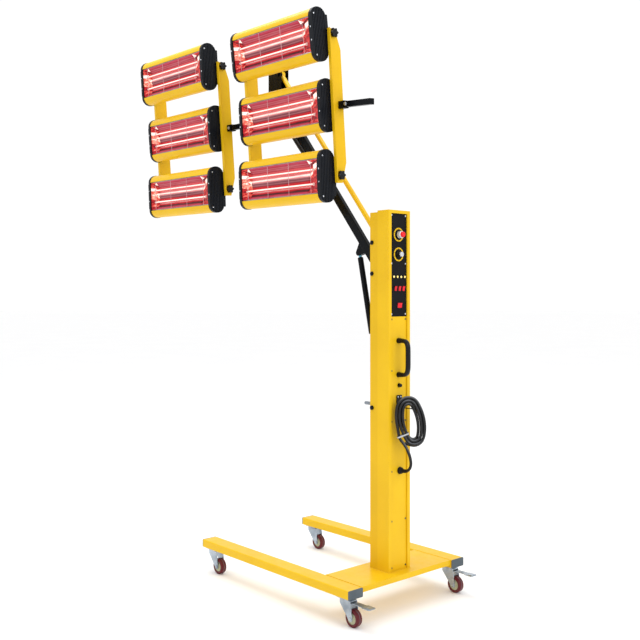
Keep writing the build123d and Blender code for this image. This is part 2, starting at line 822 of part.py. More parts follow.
def flank_to_end(quarter):
    """How the two arcs of a quarter turn share it, so that all the loops lie evenly inside each other."""
    flank_at, end_at = (quarter, quarter + 1) if quarter % 2 == 0 else (quarter + 1, quarter)
    wide = coil_half_width - coil_inward(flank_at)
    tall = coil_half_height - coil_inward(end_at)
    flank = radians(coil_flank_turn)
    flank_radius = (tall * cos(flank) - wide * (1 - sin(flank))) / (cos(flank) + sin(flank) - 1)
    end_radius = (wide - flank_radius * (1 - cos(flank))) / cos(flank)
    rest = radians(90) - flank
    ratio = end_radius * sin(rest / 2) * cos(flank / 2) / (flank_radius * sin(flank / 2) * cos(rest / 2))
    return ratio if quarter % 2 == 0 else 1 / ratio


def biarc(start, start_way, end, end_way, ratio):
    """Two arcs that join two places with given headings: each as start, middle and end points."""
    chord = end - start
    ways = start_way + end_way * ratio
    spread = 2 * ratio * (1 - start_way.dot(end_way))
    reach = (sqrt(chord.dot(ways) ** 2 + spread * chord.dot(chord)) - chord.dot(ways)) / spread
    first = start + start_way * reach
    second = end - end_way * (ratio * reach)
    joint = (first * ratio + second) * (1 / (1 + ratio))
    arcs = []
    for begin, corner, stop in ((start, first, joint), (joint, second, end)):
        share = (corner - begin).normalized().dot((stop - begin).normalized())
        middle = (begin + corner * (2 * share) + stop) * (1 / (2 + 2 * share))
        arcs.append((begin, middle, stop))
    return arcs


coil_stations = [coil_station(quarter) for quarter in range(coil_quarters + 1)]
coil_arcs = []
for quarter in range(coil_quarters):
    coil_arcs.extend(biarc(*coil_stations[quarter], *coil_stations[quarter + 1], flank_to_end(quarter)))
coil_arcs.pop()

with BuildPart() as cord_coil:
    with BuildLine() as winding:
        for begin, middle, stop in coil_arcs:
            ThreePointArc(begin, middle, stop)
    with BuildSketch(Plane(origin=coil_arcs[0][0], z_dir=coil_stations[0][1])):
        RegularPolygon(cord_diameter / 2, cord_sides)
    sweep(path=winding.line)
finish(cord_coil, "cord_coil")

samples = [edge @ (step / 12) for edge in winding.line.edges() for step in range(12)]
coil_length = sum(edge.length for edge in winding.line.edges())
apart = int(2 * coil_half_width / coil_length * len(samples))
least = min((samples[i] - samples[j]).length for i in range(len(samples))
            for j in range(i + apart, len(samples)))
print("coil length", round(coil_length, 1), "least gap between turns", round(least - cord_diameter, 2),
      "volume share", round(cord_coil.part.volume / (coil_length * cord_section), 3))

# Mains cord lead: from the gland out, up under the tie and into the coil, straight runs joined by arcs

coil_start = coil_stations[0][0]
gland_end = gland_tip - cord_gap
lead_points = [at(gland_end + back, gland_shift + left, gland_height + up) for back, left, up in lead_route]
lead_points += [coil_start - coil_up * drop + coil_right * lean for drop, lean in lead_finish]


def bend_radii(points):
    """The largest arc at each corner of a route: 0.45 of its shorter run over the tangent of half the turn."""
    radii = []
    for before, corner, after in zip(points, points[1:], points[2:]):
        turned = radians((corner - before).get_angle(after - corner)) / 2
        shorter = min((corner - before).length, (after - corner).length)
        radii.append(0.45 * shorter * cos(turned) / sin(turned))
    return radii


lead_radii = bend_radii(lead_points)
print("lead radii", [round(radius) for radius in lead_radii])

with BuildPart() as cord_lead:
    with BuildLine() as route:
        FilletPolyline(*lead_points, radius=lead_radii)
    with BuildSketch(Plane(origin=lead_points[0], z_dir=lead_points[1] - lead_points[0])):
        RegularPolygon(cord_diameter / 2, cord_sides)
    sweep(path=route.line)
finish(cord_lead, "cord_lead")
lead_length = sum(edge.length for edge in route.line.edges())
print("lead length", round(lead_length, 1), "volume share",
      round(cord_lead.part.volume / (lead_length * cord_section), 3))

# Cord tie: a flat band looped round the coil's left strands and the lead

tie_along = coil_up * cos(radians(tie_slope)) - coil_right * sin(radians(tie_slope))
tie_left = tie_along.cross(coil_out)
band_middle = coil_centre - tie_along * tie_drop + tie_left * tie_aside
with BuildPart() as cord_tie:
    half_band = tie_band / 2
    half_wrap = coil_layer / 2 + cord_diameter / 2 + tie_gap
    tie_corner = cord_diameter / 2 - tie_gap
    with BuildSketch(Plane(origin=band_middle, x_dir=coil_out, z_dir=tie_along)):
        RectangleRounded(2 * (half_wrap + tie_sheet), 2 * (half_band + tie_sheet), tie_corner + tie_sheet)
        RectangleRounded(2 * half_wrap, 2 * half_band, tie_corner, mode=Mode.SUBTRACT)
    extrude(amount=tie_width / 2, both=True)
finish(cord_tie, "cord_tie")

# Column fasteners: domed screw heads on the panel and cover, hook screws

with BuildPart() as column_fasteners:
    spots = [(screw_line, height) for height in cover_screw_heights + panel_screw_heights]
    spots += [(-screw_line, height) for height in cover_right_screw_heights + panel_screw_heights]
    for shift, height in spots:
        with BuildSketch(across(recess_back, shift, height)):
            RegularPolygon(screw_head / 2, screw_sides)
        extrude(amount=-screw_stand, taper=20)
    for rise in (-1, 1):
        with BuildSketch(across(recess_back - hook_sheet, fitting_shift + rise * hook_plate[0] / 4,
                                hook_height + hook_screw_rise)):
            RegularPolygon(screw_head / 2, screw_sides)
        extrude(amount=-screw_stand, taper=20)
finish(column_fasteners, "column_fasteners")

# Pivot pins: two bolts through the mast with spacer bushes, the ears of the gas spring's foot and the peg

mast_mouth = mast_width / 2 - mast_lip
with BuildPart() as pivot_pins:
    for height, eye_width in ((arm_pivot_height, arm_width), (tie_pivot_height, tie_eye_width)):
        with BuildSketch(side_on(pivot_forward, 0, height)):
            Circle(pivot_pin / 2)
        extrude(amount=mast_width / 2 + pin_head_stand, both=True)
        for side in (1, -1):
            with BuildSketch(side_on(pivot_forward, side * mast_width / 2, height)):
                Circle(pin_head / 2)
            extrude(amount=-side * pin_head_stand)
            with BuildSketch(side_on(pivot_forward, side * (eye_width / 2 + fit_gap), height)):
                Circle(pivot_boss / 2)
            extrude(amount=-side * (mast_mouth - eye_width / 2 - 2 * fit_gap))
    heads = pivot_pins.faces().filter_by(Axis.Y)
    chamfer((heads.group_by(Axis.Y)[0] + heads.group_by(Axis.Y)[-1]).edges(), pin_head_stand * 0.4)
    for side in (1, -1):
        ear = side * (foot_ear_gap + foot_ear) / 2
        with BuildSketch(side_on(spring_foot_forward, ear, spring_foot_height)):
            Circle(spring_eye / 2)
            with Locations((-(spring_foot_forward - mast_back - mast_wall) / 2, 0)):
                Rectangle(spring_foot_forward - mast_back - mast_wall, foot_ear_height)
        extrude(amount=foot_ear / 2, both=True)
        with BuildSketch(side_on(spring_foot_forward, side * mast_width / 2, spring_foot_height)):
            Circle(pin_head / 2)
        extrude(amount=-side * pin_head_stand)
    with BuildSketch(across(column_front, peg_shift, peg_height)):
        Circle(peg_diameter / 2)
    extrude(amount=peg_length)
finish(pivot_pins, "pivot_pins")

# Inner modules: the contactor and the timer module, on the mast's back wall

with BuildPart() as inner_modules:
    for width, height, depth, above in module_sizes:
        middle = panel_bottom + above
        with BuildSketch(across(mast_back, 0, middle)):
            Rectangle(width, height)
        extrude(amount=-depth)
        with BuildSketch(across(mast_back, 0, middle)):
            Rectangle(width * 1.1, height * 0.5)
        extrude(amount=-depth * 0.5)
finish(inner_modules, "inner_modules")

# Arm linkage: the arm, tie rod and gas spring all lie in the column's middle plane

arm_way = Vector(cos(radians(arm_slope)), 0, sin(radians(arm_slope)))
arm_rise_way = Vector(-arm_way.Z, 0, arm_way.X)


def arm_place(along, above, left=0.0):
    """A point from its distance along the arm past the lower pivot and its distance above the arm's middle line."""
    return at(pivot_forward, left, arm_pivot_height) + arm_way * along + arm_rise_way * above


def arm_plane(along, above, left=0.0):
    """A plane in the arm's own side, with its x along the arm."""
    return Plane(origin=arm_place(along, above, left), x_dir=arm_way, z_dir=(0, -1, 0))


with BuildPart() as arm:
    tube_length = arm_length + arm_tail + arm_nose
    with BuildSketch(arm_plane(0, 0)):
        with Locations(((arm_length + arm_nose - arm_tail) / 2, 0)):
            Rectangle(tube_length, arm_depth)
    extrude(amount=arm_width / 2, both=True)
    fillet(arm.edges().filter_by(lambda edge: edge.length > arm_length), arm_wall)
    with BuildSketch(arm_plane(0, 0)):
        with Locations(((arm_length + arm_nose - arm_tail) / 2, 0)):
            Rectangle(tube_length + overrun, arm_depth - 2 * arm_wall)
    extrude(amount=arm_width / 2 - arm_wall, both=True, mode=Mode.SUBTRACT)
    with BuildSketch(arm_plane(0, 0)):
        Circle(pivot_boss / 2)
    extrude(amount=arm_width / 2, both=True)
    with BuildSketch(arm_plane(arm_length, 0)):
        Circle(pivot_boss / 2)
    extrude(amount=bracket_gap / 2 - fit_gap, both=True)
    for side in (1, -1):
        ear = side * (spring_eye_width + lug_sheet + 2 * fit_gap) / 2
        with BuildSketch(arm_plane(lug_along, 0, ear)):
            with Locations((0, -lug_below)):
                Circle(lug_round)
            with Locations((0, -arm_depth / 2 + arm_wall)):
                Rectangle(lug_length, arm_wall)
            make_hull()
        extrude(amount=lug_sheet / 2, both=True)
    with BuildSketch(arm_plane(lug_along, -lug_below)):
        Circle(spring_pin / 2)
    extrude(amount=spring_eye_width / 2 + lug_sheet + 2 * fit_gap, both=True)
    for along in (0, arm_length):
        with BuildSketch(arm_plane(along, 0)):
            Circle(pivot_pin / 2 + running_gap)
        extrude(amount=bracket_gap, both=True, mode=Mode.SUBTRACT)
finish(arm, "arm")

# Cable sleeve: leaves the arm's underside, swells away from it and goes back in near the top

with BuildPart() as cable_sleeve:
    entry = -arm_depth / 2 - sleeve_diameter / 2 - cord_gap
    reach = sleeve_end - sleeve_start
    sleeve_points = [
        arm_place(sleeve_start, entry + sleeve_diameter * 0.2),
        arm_place(sleeve_start + reach * 0.2, entry - sleeve_bulge * 0.28),
        arm_place(sleeve_start + reach * 0.42, entry - sleeve_bulge * 0.56),
        arm_place(sleeve_start + reach * 0.64, entry - sleeve_bulge * 0.6),
        arm_place(sleeve_start + reach * 0.84, entry - sleeve_bulge * 0.32),
        arm_place(sleeve_end, entry - sleeve_bulge * 0.02),
    ]
    with BuildLine() as sleeve_route:
        FilletPolyline(*sleeve_points, radius=bend_radii(sleeve_points))
    with BuildSketch(Plane(origin=sleeve_points[0], z_dir=sleeve_points[1] - sleeve_points[0])):
        Circle(sleeve_diameter / 2)
    sweep(path=sleeve_route.line)
    with BuildSketch(arm_plane(0, 0)):
        with Locations((arm_length / 2, 0)):
            Rectangle(arm_length, arm_depth + 2 * cord_gap)
    extrude(amount=arm_width, both=True, mode=Mode.SUBTRACT)
finish(cable_sleeve, "cable_sleeve")

tie_lift = Vector(0, 0, linkage_spacing)
with BuildPart() as tie_rod:
    rod_start = pivot_boss / 2 + 2 * fit_gap
    with BuildSketch(Plane(origin=arm_place(rod_start, 0) + tie_lift, z_dir=arm_way)):
        Circle(tie_rod_diameter / 2)
    extrude(amount=arm_length - 2 * rod_start)
    for along in (0, arm_length):
        with BuildSketch(Plane(origin=arm_place(along, 0) + tie_lift, x_dir=arm_way, z_dir=(0, -1, 0))):
            Circle(tie_eye / 2)
        extrude(amount=tie_eye_width / 2, both=True)
    for along in (0, arm_length):
        with BuildSketch(Plane(origin=arm_place(along, 0) + tie_lift, x_dir=arm_way, z_dir=(0, -1, 0))):
            Circle(pivot_pin / 2 + running_gap)
        extrude(amount=tie_rod_diameter, both=True, mode=Mode.SUBTRACT)
finish(tie_rod, "tie_rod")

# End bracket: two cheeks and a front web, with a box standoff to the crossbar's clamp

arm_end = (pivot_forward + arm_run, arm_pivot_height + arm_rise)
cheek_outside = bracket_gap / 2 + bracket_sheet
with BuildPart() as end_bracket:
    cheek_height = linkage_spacing + bracket_above + bracket_below
    cheek_middle = (linkage_spacing + bracket_above - bracket_below) / 2
    with BuildSketch(side_on(arm_end[0], 0, arm_end[1])):
        with Locations(((bracket_front - bracket_back) / 2, cheek_middle)):
            RectangleRounded(bracket_back + bracket_front, cheek_height, bracket_corner)
    extrude(amount=cheek_outside, both=True)
    with BuildSketch(side_on(arm_end[0], 0, arm_end[1])):
        with Locations(((bracket_front - bracket_back) / 2 - bracket_sheet, cheek_middle)):
            Rectangle(bracket_back + bracket_front, cheek_height + overrun)
    extrude(amount=bracket_gap / 2, both=True, mode=Mode.SUBTRACT)
    for rise in (0, linkage_spacing):
        with BuildSketch(side_on(arm_end[0], 0, arm_end[1] + rise)):
            Circle(pivot_pin / 2)
        extrude(amount=cheek_outside + pin_head_stand, both=True)
        for side in (1, -1):
            with BuildSketch(side_on(arm_end[0], side * cheek_outside, arm_end[1] + rise)):
                Circle(pin_head / 2)
            extrude(amount=-side * pin_head_stand)
            if rise:
                with BuildSketch(side_on(arm_end[0], side * (tie_eye_width / 2 + fit_gap), arm_end[1] + rise)):
                    Circle(pivot_boss / 2)
                extrude(amount=-side * (bracket_gap - tie_eye_width) / 2)
    standoff_length = bar_left - cheek_outside
    with BuildSketch(side_on(arm_end[0] + standoff_forward, cheek_outside, bar_height)):
        RectangleRounded(standoff_size, standoff_size, bar_corner)
    extrude(amount=-standoff_length)
    clamp_middle = at(collar_middle, bar_left, bar_height)
    with BuildSketch(Plane(origin=clamp_middle, z_dir=bank_along)):
        Circle(standoff_size * clamp_share)
    extrude(amount=clamp_length / 2, both=True)
    with BuildSketch(Plane(origin=clamp_middle, z_dir=bank_along)):
        Circle(bar_collar / 2 + running_gap)
    extrude(amount=clamp_length, both=True, mode=Mode.SUBTRACT)
finish(end_bracket, "end_bracket")

# Gas spring: the cylinder hangs from the arm's lug, and its rod runs down to the ears in the mast

lug_point = arm_place(lug_along, -lug_below)
foot_point = at(spring_foot_forward, 0, spring_foot_height)
spring_way = (foot_point - lug_point).normalized()
spring_length = (foot_point - lug_point).length
with BuildPart() as gas_cylinder:
    with BuildSketch(Plane(origin=lug_point, x_dir=spring_way, z_dir=(0, -1, 0))):
        Circle(spring_eye / 2)
    extrude(amount=spring_eye_width / 2, both=True)
    with BuildSketch(Plane(origin=lug_point, z_dir=spring_way)):
        Circle(spring_eye_width / 2)
    extrude(amount=cylinder_start)
    with BuildSketch(Plane(origin=lug_point + spring_way * cylinder_start, z_dir=spring_way)):
        Circle(cylinder_diameter / 2)
    extrude(amount=cylinder_length)
    cylinder_end = cylinder_start + cylinder_length
    with BuildSketch(Plane(origin=lug_point + spring_way * (cylinder_end - bore_depth), z_dir=spring_way)):
        Circle(rod_diameter / 2 + running_gap)
    extrude(amount=bore_depth, mode=Mode.SUBTRACT)
    with BuildSketch(Plane(origin=lug_point, x_dir=spring_way, z_dir=(0, -1, 0))):
        Circle(spring_pin / 2 + running_gap)
    extrude(amount=spring_eye_width, both=True, mode=Mode.SUBTRACT)
finish(gas_cylinder, "gas_cylinder")

with BuildPart() as gas_rod:
    rod_top = cylinder_end - rod_inside
    with BuildSketch(Plane(origin=lug_point + spring_way * rod_top, z_dir=spring_way)):
        Circle(rod_diameter / 2)
    extrude(amount=spring_length - rod_top)
    with BuildSketch(Plane(origin=foot_point, x_dir=spring_way, z_dir=(0, -1, 0))):
        Circle(spring_eye / 2)
    extrude(amount=spring_eye_width / 2, both=True)
finish(gas_rod, "gas_rod")

# Crossbar: a box tube with a round collar where the clamp holds it

bar_start = first_rack - socket_length
rack_starts = (first_rack, first_rack + rack_pitch)
plate_ends = [(start, 1) for start in rack_starts] + [(start + rack_width, -1) for start in rack_starts]


def rack_plane(forward, out=0.0, up=0.0):
    """A plane across the crossbar, leaning with the racks: its x points out and its y up along the racks."""
    middle = at(collar_middle, bar_left, bar_height) + bank_along * (forward - collar_middle)
    return Plane(origin=middle + rack_out * out + rack_up * up, x_dir=rack_out, z_dir=bank_along)


with BuildPart() as crossbar:
    with BuildSketch(rack_plane(bar_start)):
        RectangleRounded(bar_size, bar_size, bar_corner)
        Rectangle(bar_size - 2 * bar_wall, bar_size - 2 * bar_wall, mode=Mode.SUBTRACT)
    extrude(amount=bar_front_end - bar_start)
    with BuildSketch(rack_plane(collar_middle - clamp_length / 2)):
        Circle(bar_collar / 2)
        Rectangle(bar_size - 2 * bar_wall, bar_size - 2 * bar_wall, mode=Mode.SUBTRACT)
    extrude(amount=clamp_length)
    for start, inward in plate_ends:
        with BuildSketch(rack_plane(start - inward * fit_gap)):
            RectangleRounded(socket_size, socket_size, bar_corner)
        extrude(amount=-inward * (socket_length - fit_gap))
        with BuildSketch(Plane(origin=rack_plane(start - inward * socket_length / 2).origin, z_dir=rack_out)):
            Circle(bolt_head / 2)
        extrude(amount=socket_size / 2 + bolt_head / 3, both=True)
    droop = radians(bar_droop)
    handle_way = bank_along * -cos(droop) - rack_up * sin(droop)
    inside = rack_plane(bar_start + bar_wall).origin
    with BuildSketch(Plane(origin=inside, x_dir=rack_out, z_dir=handle_way)):
        Rectangle(bar_size - running_gap, bar_size - running_gap)
    extrude(amount=bar_tail - socket_length)
finish(crossbar, "crossbar")

# Side plates: four folded plates with outward front flanges and chamfered back corners

half_plate = plate_length / 2

with BuildPart() as side_plates:
    for start, inward in plate_ends:
        cut_out, cut_up = plate_chamfer
        back = plate_front - plate_depth
        with BuildSketch(rack_plane(start, 0, -rack_drop)):
            with BuildLine():
                Polyline((plate_front, half_plate), (back + cut_out, half_plate), (back, half_plate - cut_up),
                         (back, -half_plate + cut_up), (back + cut_out, -half_plate), (plate_front, -half_plate),
                         close=True)
            make_face()
        extrude(amount=inward * plate_sheet)
        with BuildSketch(rack_plane(start, plate_front - plate_sheet / 2, -rack_drop)):
            Rectangle(plate_sheet, plate_length)
        extrude(amount=-inward * plate_flange)
        with BuildSketch(rack_plane(start)):
            Rectangle(bar_size + 2 * fit_gap, bar_size + 2 * fit_gap)
        extrude(amount=inward * plate_sheet, mode=Mode.SUBTRACT)
        for up in stud_ups:
            with BuildSketch(rack_plane(start, stud_out, up)):
                Circle(stud_diameter / 2 + running_gap)
            extrude(amount=inward * plate_sheet, mode=Mode.SUBTRACT)
finish(side_plates, "side_plates")


def star_knob(name, start, up):
    """A star-shaped clamp knob on the stud that stands out of a side plate."""
    with BuildPart() as knob:
        with BuildSketch(rack_plane(start - fit_gap, stud_out, up)):
            Circle(knob_star_waist / 2)
            with PolarLocations((knob_star - knob_star_lobe) / 2, knob_star_lobes):
                Circle(knob_star_lobe / 2)
        extrude(amount=-knob_star_thick)
        with BuildSketch(rack_plane(start - fit_gap, stud_out, up)):
            Circle(stud_diameter / 2 + running_gap)
        extrude(amount=-knob_star_thick * 0.7, mode=Mode.SUBTRACT)
    finish(knob, name)


# Cassettes

duct_back = head_depth / 2 + duct_depth


def head_outline(grow):
    """The cassette's section: round-cornered body and a shallow wiring duct on its back, grown by a margin."""
    RectangleRounded(head_depth + 2 * grow, head_height + 2 * grow, head_round + grow)
    with Locations((-(duct_back + grow) + (duct_depth + head_round) / 2, 0)):
        RectangleRounded(duct_depth + head_round, duct_height + 2 * grow, duct_round)


def head_hollow():
    """The hollow inside the casing."""
    RectangleRounded(head_depth - 2 * housing_wall, head_height - 2 * housing_wall, head_round - housing_wall,
                     mode=Mode.SUBTRACT)
    with Locations((-duct_back + housing_wall + duct_depth, 0)):
        Rectangle(2 * duct_depth, duct_height - 2 * housing_wall, mode=Mode.SUBTRACT)


def head_housing(name, planes):
    """Folded casings: the section hollowed to its wall, with the long window in front."""
    with BuildPart() as housing:
        for plane in planes:
            with BuildSketch(plane.offset(cap_thick)):
                head_outline(0)
                head_hollow()
                with Locations((head_depth / 2, 0)):
                    Rectangle(4 * housing_wall, window_height, mode=Mode.SUBTRACT)
            extrude(amount=housing_length)
    finish(housing, name)


def head_caps(name, planes, kind):
    """Ribbed end caps with front lips; the swinging kind has back lugs with studs, the fixed kind spacers."""
    spacer_reach = head_gap - fit_gap
    lug_drop = -head_raises[kind]
    stud_length = head_gap + plate_sheet + knob_star_thick * 0.6
    with BuildPart() as end_caps:
        for plane in planes:
            for end, inward in ((0, 1), (head_length, -1)):
                face = plane.offset(end)
                with BuildSketch(face):
                    head_outline(cap_rim)
                    with Locations(((head_depth + cap_lip_stand) / 2, 0)):
                        Rectangle(cap_lip_stand + cap_rim, cap_lip_height)
                extrude(amount=inward * cap_thick)
                with BuildSketch(face):
                    with GridLocations(rib_pitch, head_height, rib_count, 1):
                        Rectangle(rib_groove, head_height + head_round)
                extrude(amount=inward * rib_depth, mode=Mode.SUBTRACT)
                if kind == "middle":
                    with BuildSketch(face.offset(inward * rib_depth)):
                        for rise in (1, -1):
                            with Locations((spacer_diameter / 2 - head_depth / 2, rise * duct_height / 3)):
                                Circle(spacer_diameter / 2)
                    extrude(amount=-inward * (spacer_reach + rib_depth))
                else:
                    with BuildSketch(face):
                        with Locations((-swing_reach, lug_drop)):
                            Circle(lug_half)
                        with Locations((duct_round - head_depth / 2, lug_drop)):
                            Rectangle(2 * duct_round, 4 * lug_half)
                        make_hull()
                    extrude(amount=inward * lug_plate)
                    for diameter, reach in ((spacer_diameter, spacer_reach), (stud_diameter, stud_length)):
                        with BuildSketch(face):
                            with Locations((-swing_reach, lug_drop)):
                                Circle(diameter / 2)
                        extrude(amount=-inward * reach)
    finish(end_caps, name)


def head_emitter(name, planes):
    """Reflector trough with its end walls, two quartz tubes and the guard wires across the window."""
    inside = housing_length - 2 * fit_gap
    mouth = head_depth / 2 - housing_wall - fit_gap
    floor = mouth - reflector_back
    half_mouth = reflector_mouth / 2
    half_floor = reflector_floor / 2
    bay = housing_length / guard_bays
    with BuildPart() as emitter:
        for plane in planes:
            first_wall = plane.offset(cap_thick + fit_gap)
            with BuildSketch(first_wall):
                with BuildLine():
                    Polyline((mouth, half_mouth), (floor, half_floor), (floor, -half_floor), (mouth, -half_mouth),
                             (mouth, -half_mouth - 2 * reflector_sheet),
                             (floor - reflector_sheet, -half_floor - reflector_sheet),
                             (floor - reflector_sheet, half_floor + reflector_sheet),
                             (mouth, half_mouth + 2 * reflector_sheet), close=True)
                make_face()
            extrude(amount=inside)
            for end, inward in ((0, 1), (inside, -1)):
                with BuildSketch(first_wall.offset(end)):
                    with BuildLine():
                        Polyline((mouth, half_mouth), (floor, half_floor), (floor, -half_floor),
                                 (mouth, -half_mouth), close=True)
                    make_face()
                extrude(amount=inward * reflector_sheet)
            for offset in quartz_offsets:
                with BuildSketch(first_wall):
                    with Locations((mouth - quartz_depth, offset)):
                        Circle(quartz_diameter / 2)
                extrude(amount=inside)
            for bar in range(1, guard_bays):
                with BuildSketch(plane.offset(cap_thick + bar * bay)):
                    with Locations((mouth + guard_diameter / 2, 0)):
                        Rectangle(guard_diameter, reflector_mouth + 2 * reflector_sheet)
                extrude(amount=guard_diameter / 2, both=True)
    finish(emitter, name)


def head_plane(rack, kind):
    """The cassette's own plane at its first end: its middle is carried in front of the studs or the crossbar."""
    middle, face, rise = head_middle(rack, kind)
    first_end = rack_plane(rack_starts[rack] + plate_sheet + head_gap).origin
    return Plane(origin=first_end + middle, x_dir=face, z_dir=bank_along)


for rack, rack_name in enumerate(("back", "front")):
    for kind, up in (("upper", stud_ups[0]), ("lower", stud_ups[1])):
        place = rack_name + "_" + kind
        planes = [head_plane(rack, kind)]
        head_housing("housing_" + place, planes)
        head_caps("end_caps_" + place, planes, kind)
        head_emitter("emitter_" + place, planes)
        star_knob("clamp_knob_" + place, rack_starts[rack], up)

middle_planes = [head_plane(rack, "middle") for rack in (0, 1)]
head_housing("housings_middle", middle_planes)
head_caps("end_caps_middle", middle_planes, "middle")
head_emitter("emitters_middle", middle_planes)

print("legs' back ends at x", round(legs_back_x, 2), "column's middle at y", round(column_y, 2))
print("spring foot to lug", round(spring_length, 2), "arm slope", round(arm_slope, 3))
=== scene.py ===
"""Infrared paint curing lamp: finishes, cord, lamp windows, small fittings, floor, light and camera."""
from math import atan2, cos, hypot, pi, radians, sin, sqrt

import bpy
import numpy as np
from bpy.props import FloatProperty, FloatVectorProperty, IntProperty, PointerProperty
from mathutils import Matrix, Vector


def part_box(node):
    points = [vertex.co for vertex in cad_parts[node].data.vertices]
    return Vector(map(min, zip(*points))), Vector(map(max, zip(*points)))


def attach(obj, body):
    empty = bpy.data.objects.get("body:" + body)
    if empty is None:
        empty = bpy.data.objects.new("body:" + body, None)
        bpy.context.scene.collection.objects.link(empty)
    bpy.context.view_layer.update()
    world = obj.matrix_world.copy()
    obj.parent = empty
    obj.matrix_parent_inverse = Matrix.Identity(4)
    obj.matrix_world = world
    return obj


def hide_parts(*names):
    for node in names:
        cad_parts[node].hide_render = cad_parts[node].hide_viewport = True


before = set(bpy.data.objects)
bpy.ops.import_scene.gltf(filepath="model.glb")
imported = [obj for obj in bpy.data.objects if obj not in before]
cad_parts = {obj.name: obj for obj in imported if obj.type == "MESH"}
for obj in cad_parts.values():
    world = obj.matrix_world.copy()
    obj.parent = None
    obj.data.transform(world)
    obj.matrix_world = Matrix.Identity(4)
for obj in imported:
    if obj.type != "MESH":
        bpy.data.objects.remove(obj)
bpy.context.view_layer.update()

bl_info = {
    "name": "Infrared curing lamp",
    "version": (1, 0, 0),
    "blender": (4, 5, 0),
    "location": "3D View > Sidebar > Curing lamp",
    "description": "Dresses the frame of a wheeled infrared curing lamp",
    "category": "Object",
}

MM = 0.001

# Places are in millimetres: forward from the legs' back ends, left from the column's middle plane, and up from
# the floor, as the frame was drawn. They are measured from two of its own nodes.
LEGS_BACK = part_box("leg_plugs")[0][0] / MM
COLUMN_MIDDLE = (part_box("cabinet_shell")[0][1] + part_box("cabinet_shell")[1][1]) / 2 / MM
COVER_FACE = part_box("back_cover")[0][0] / MM - LEGS_BACK


def at(forward, left, up):
    """A place on the lamp as an array in millimetres of the frame."""
    return np.array([LEGS_BACK + forward, COLUMN_MIDDLE + left, up], dtype=float)


# Sizes of the lamp that its new pieces share with the frame
ARM_PIVOT = (139, 1230)
ARM_RUN, ARM_RISE = 601, 743
ARM_SLOPE = atan2(ARM_RISE, ARM_RUN)
COLLAR_FORWARD, BAR_LEFT, BAR_HEIGHT = 760, 171, 1858
BANK_PITCH, RACK_LEAN = radians(0.8), 4.9
RACK_STARTS, RACK_WIDTH, RACK_DROP = (185, 881), 503, 4
PLATE_SHEET, HEAD_GAP, CAP_THICK = 2.5, 5, 14
HEAD_DEPTH = 70
STUD_OUT, STUD_UPS, STUD_REACH = 23, {"upper": 260, "lower": -257}, 58
FIXED_REACH = 60
RIB_PITCH, RIB_GROOVE = 7.6, 3
WHEEL_RADIUS = 31.5
HANDLE = (-2, 918.5)
SCREWS_LEFT, TIMER_HEIGHT, PUSH_HEIGHT = 36.8, 1301, 1374
LAMPS_LEFT, LAMPS_HEIGHT = (27.1, 7.7, -11.7, -31.1), 1218
SPRING_LUG, SPRING_FOOT = (143, -43), (138, 0, 730)
DECK_HEIGHT = 132
HEAD_RAISES = {"upper": -5, "middle": 2.5, "lower": -3}
HEAD_TILTS = {"upper": (7.5, 4), "middle": (RACK_LEAN, RACK_LEAN), "lower": (2.8, 2.8)}
HEAD_LENGTH = RACK_WIDTH - 2 * (PLATE_SHEET + HEAD_GAP)
WINDOW_LENGTH = HEAD_LENGTH - 2 * CAP_THICK

BANK_ALONG = np.array([cos(BANK_PITCH), 0, sin(BANK_PITCH)])
BANK_UP = np.array([-sin(BANK_PITCH), 0, cos(BANK_PITCH)])
BANK_FACE = np.array([0, 1, 0])


class Axes:
    """A right-handed set of axes at a place: points given in it are turned into the frame."""

    def __init__(self, origin, along_x, along_y, along_z):
        self.origin = np.asarray(origin, dtype=float)
        self.ways = np.array([along_x, along_y, along_z], dtype=float)

    def points(self, local):
        """The origin plus each coordinate times its own axis."""
        return self.origin + np.asarray(local, dtype=float) @ self.ways

    def moved(self, x, y, z):
        """The same axes at another place, given in them."""
        return Axes(self.points([x, y, z]), *self.ways)


def lean_ways(tilt):
    """Outward and upward unit vectors of what leans forward by tilt degrees on the crossbar."""
    lean = radians(tilt)
    return BANK_FACE * cos(lean) - BANK_UP * sin(lean), BANK_FACE * sin(lean) + BANK_UP * cos(lean)


RACK_OUT, RACK_UP = lean_ways(RACK_LEAN)


def rack_axes(forward, out=0, up=0):
    """Axes across the crossbar: x out of the racks, y up them and z forward along the bar."""
    middle = at(COLLAR_FORWARD, BAR_LEFT, BAR_HEIGHT) + BANK_ALONG * (forward - COLLAR_FORWARD)
    return Axes(middle + RACK_OUT * out + RACK_UP * up, RACK_OUT, RACK_UP, BANK_ALONG)


def head_axes(rack, kind):
    """Axes of a cassette at its first end: x out of its window, y up it and z along it."""
    face, rise = lean_ways(HEAD_TILTS[kind][rack])
    if kind == "middle":
        middle = face * FIXED_REACH + rise * (HEAD_RAISES[kind] - RACK_DROP)
    else:
        middle = RACK_OUT * STUD_OUT + RACK_UP * STUD_UPS[kind] + face * STUD_REACH + rise * HEAD_RAISES[kind]
    first_end = rack_axes(RACK_STARTS[rack] + PLATE_SHEET + HEAD_GAP).origin
    return Axes(first_end + middle, face, rise, BANK_ALONG)


def facing(origin, way):
    """Axes at a place whose z points a given way."""
    way = np.asarray(way, dtype=float) / np.linalg.norm(way)
    side = np.cross([0, 0, 1] if abs(way[2]) < 0.9 else [1, 0, 0], way)
    side /= np.linalg.norm(side)
    return Axes(origin, side, np.cross(way, side), way)


ARM_WAY = np.array([cos(ARM_SLOPE), 0, sin(ARM_SLOPE)])
ARM_RISE_WAY = np.array([-sin(ARM_SLOPE), 0, cos(ARM_SLOPE)])


def on_arm(along, above, left=0):
    """A place from its distance along the arm past the lower pivot and its distance above the middle line."""
    return at(ARM_PIVOT[0], left, ARM_PIVOT[1]) + ARM_WAY * along + ARM_RISE_WAY * above


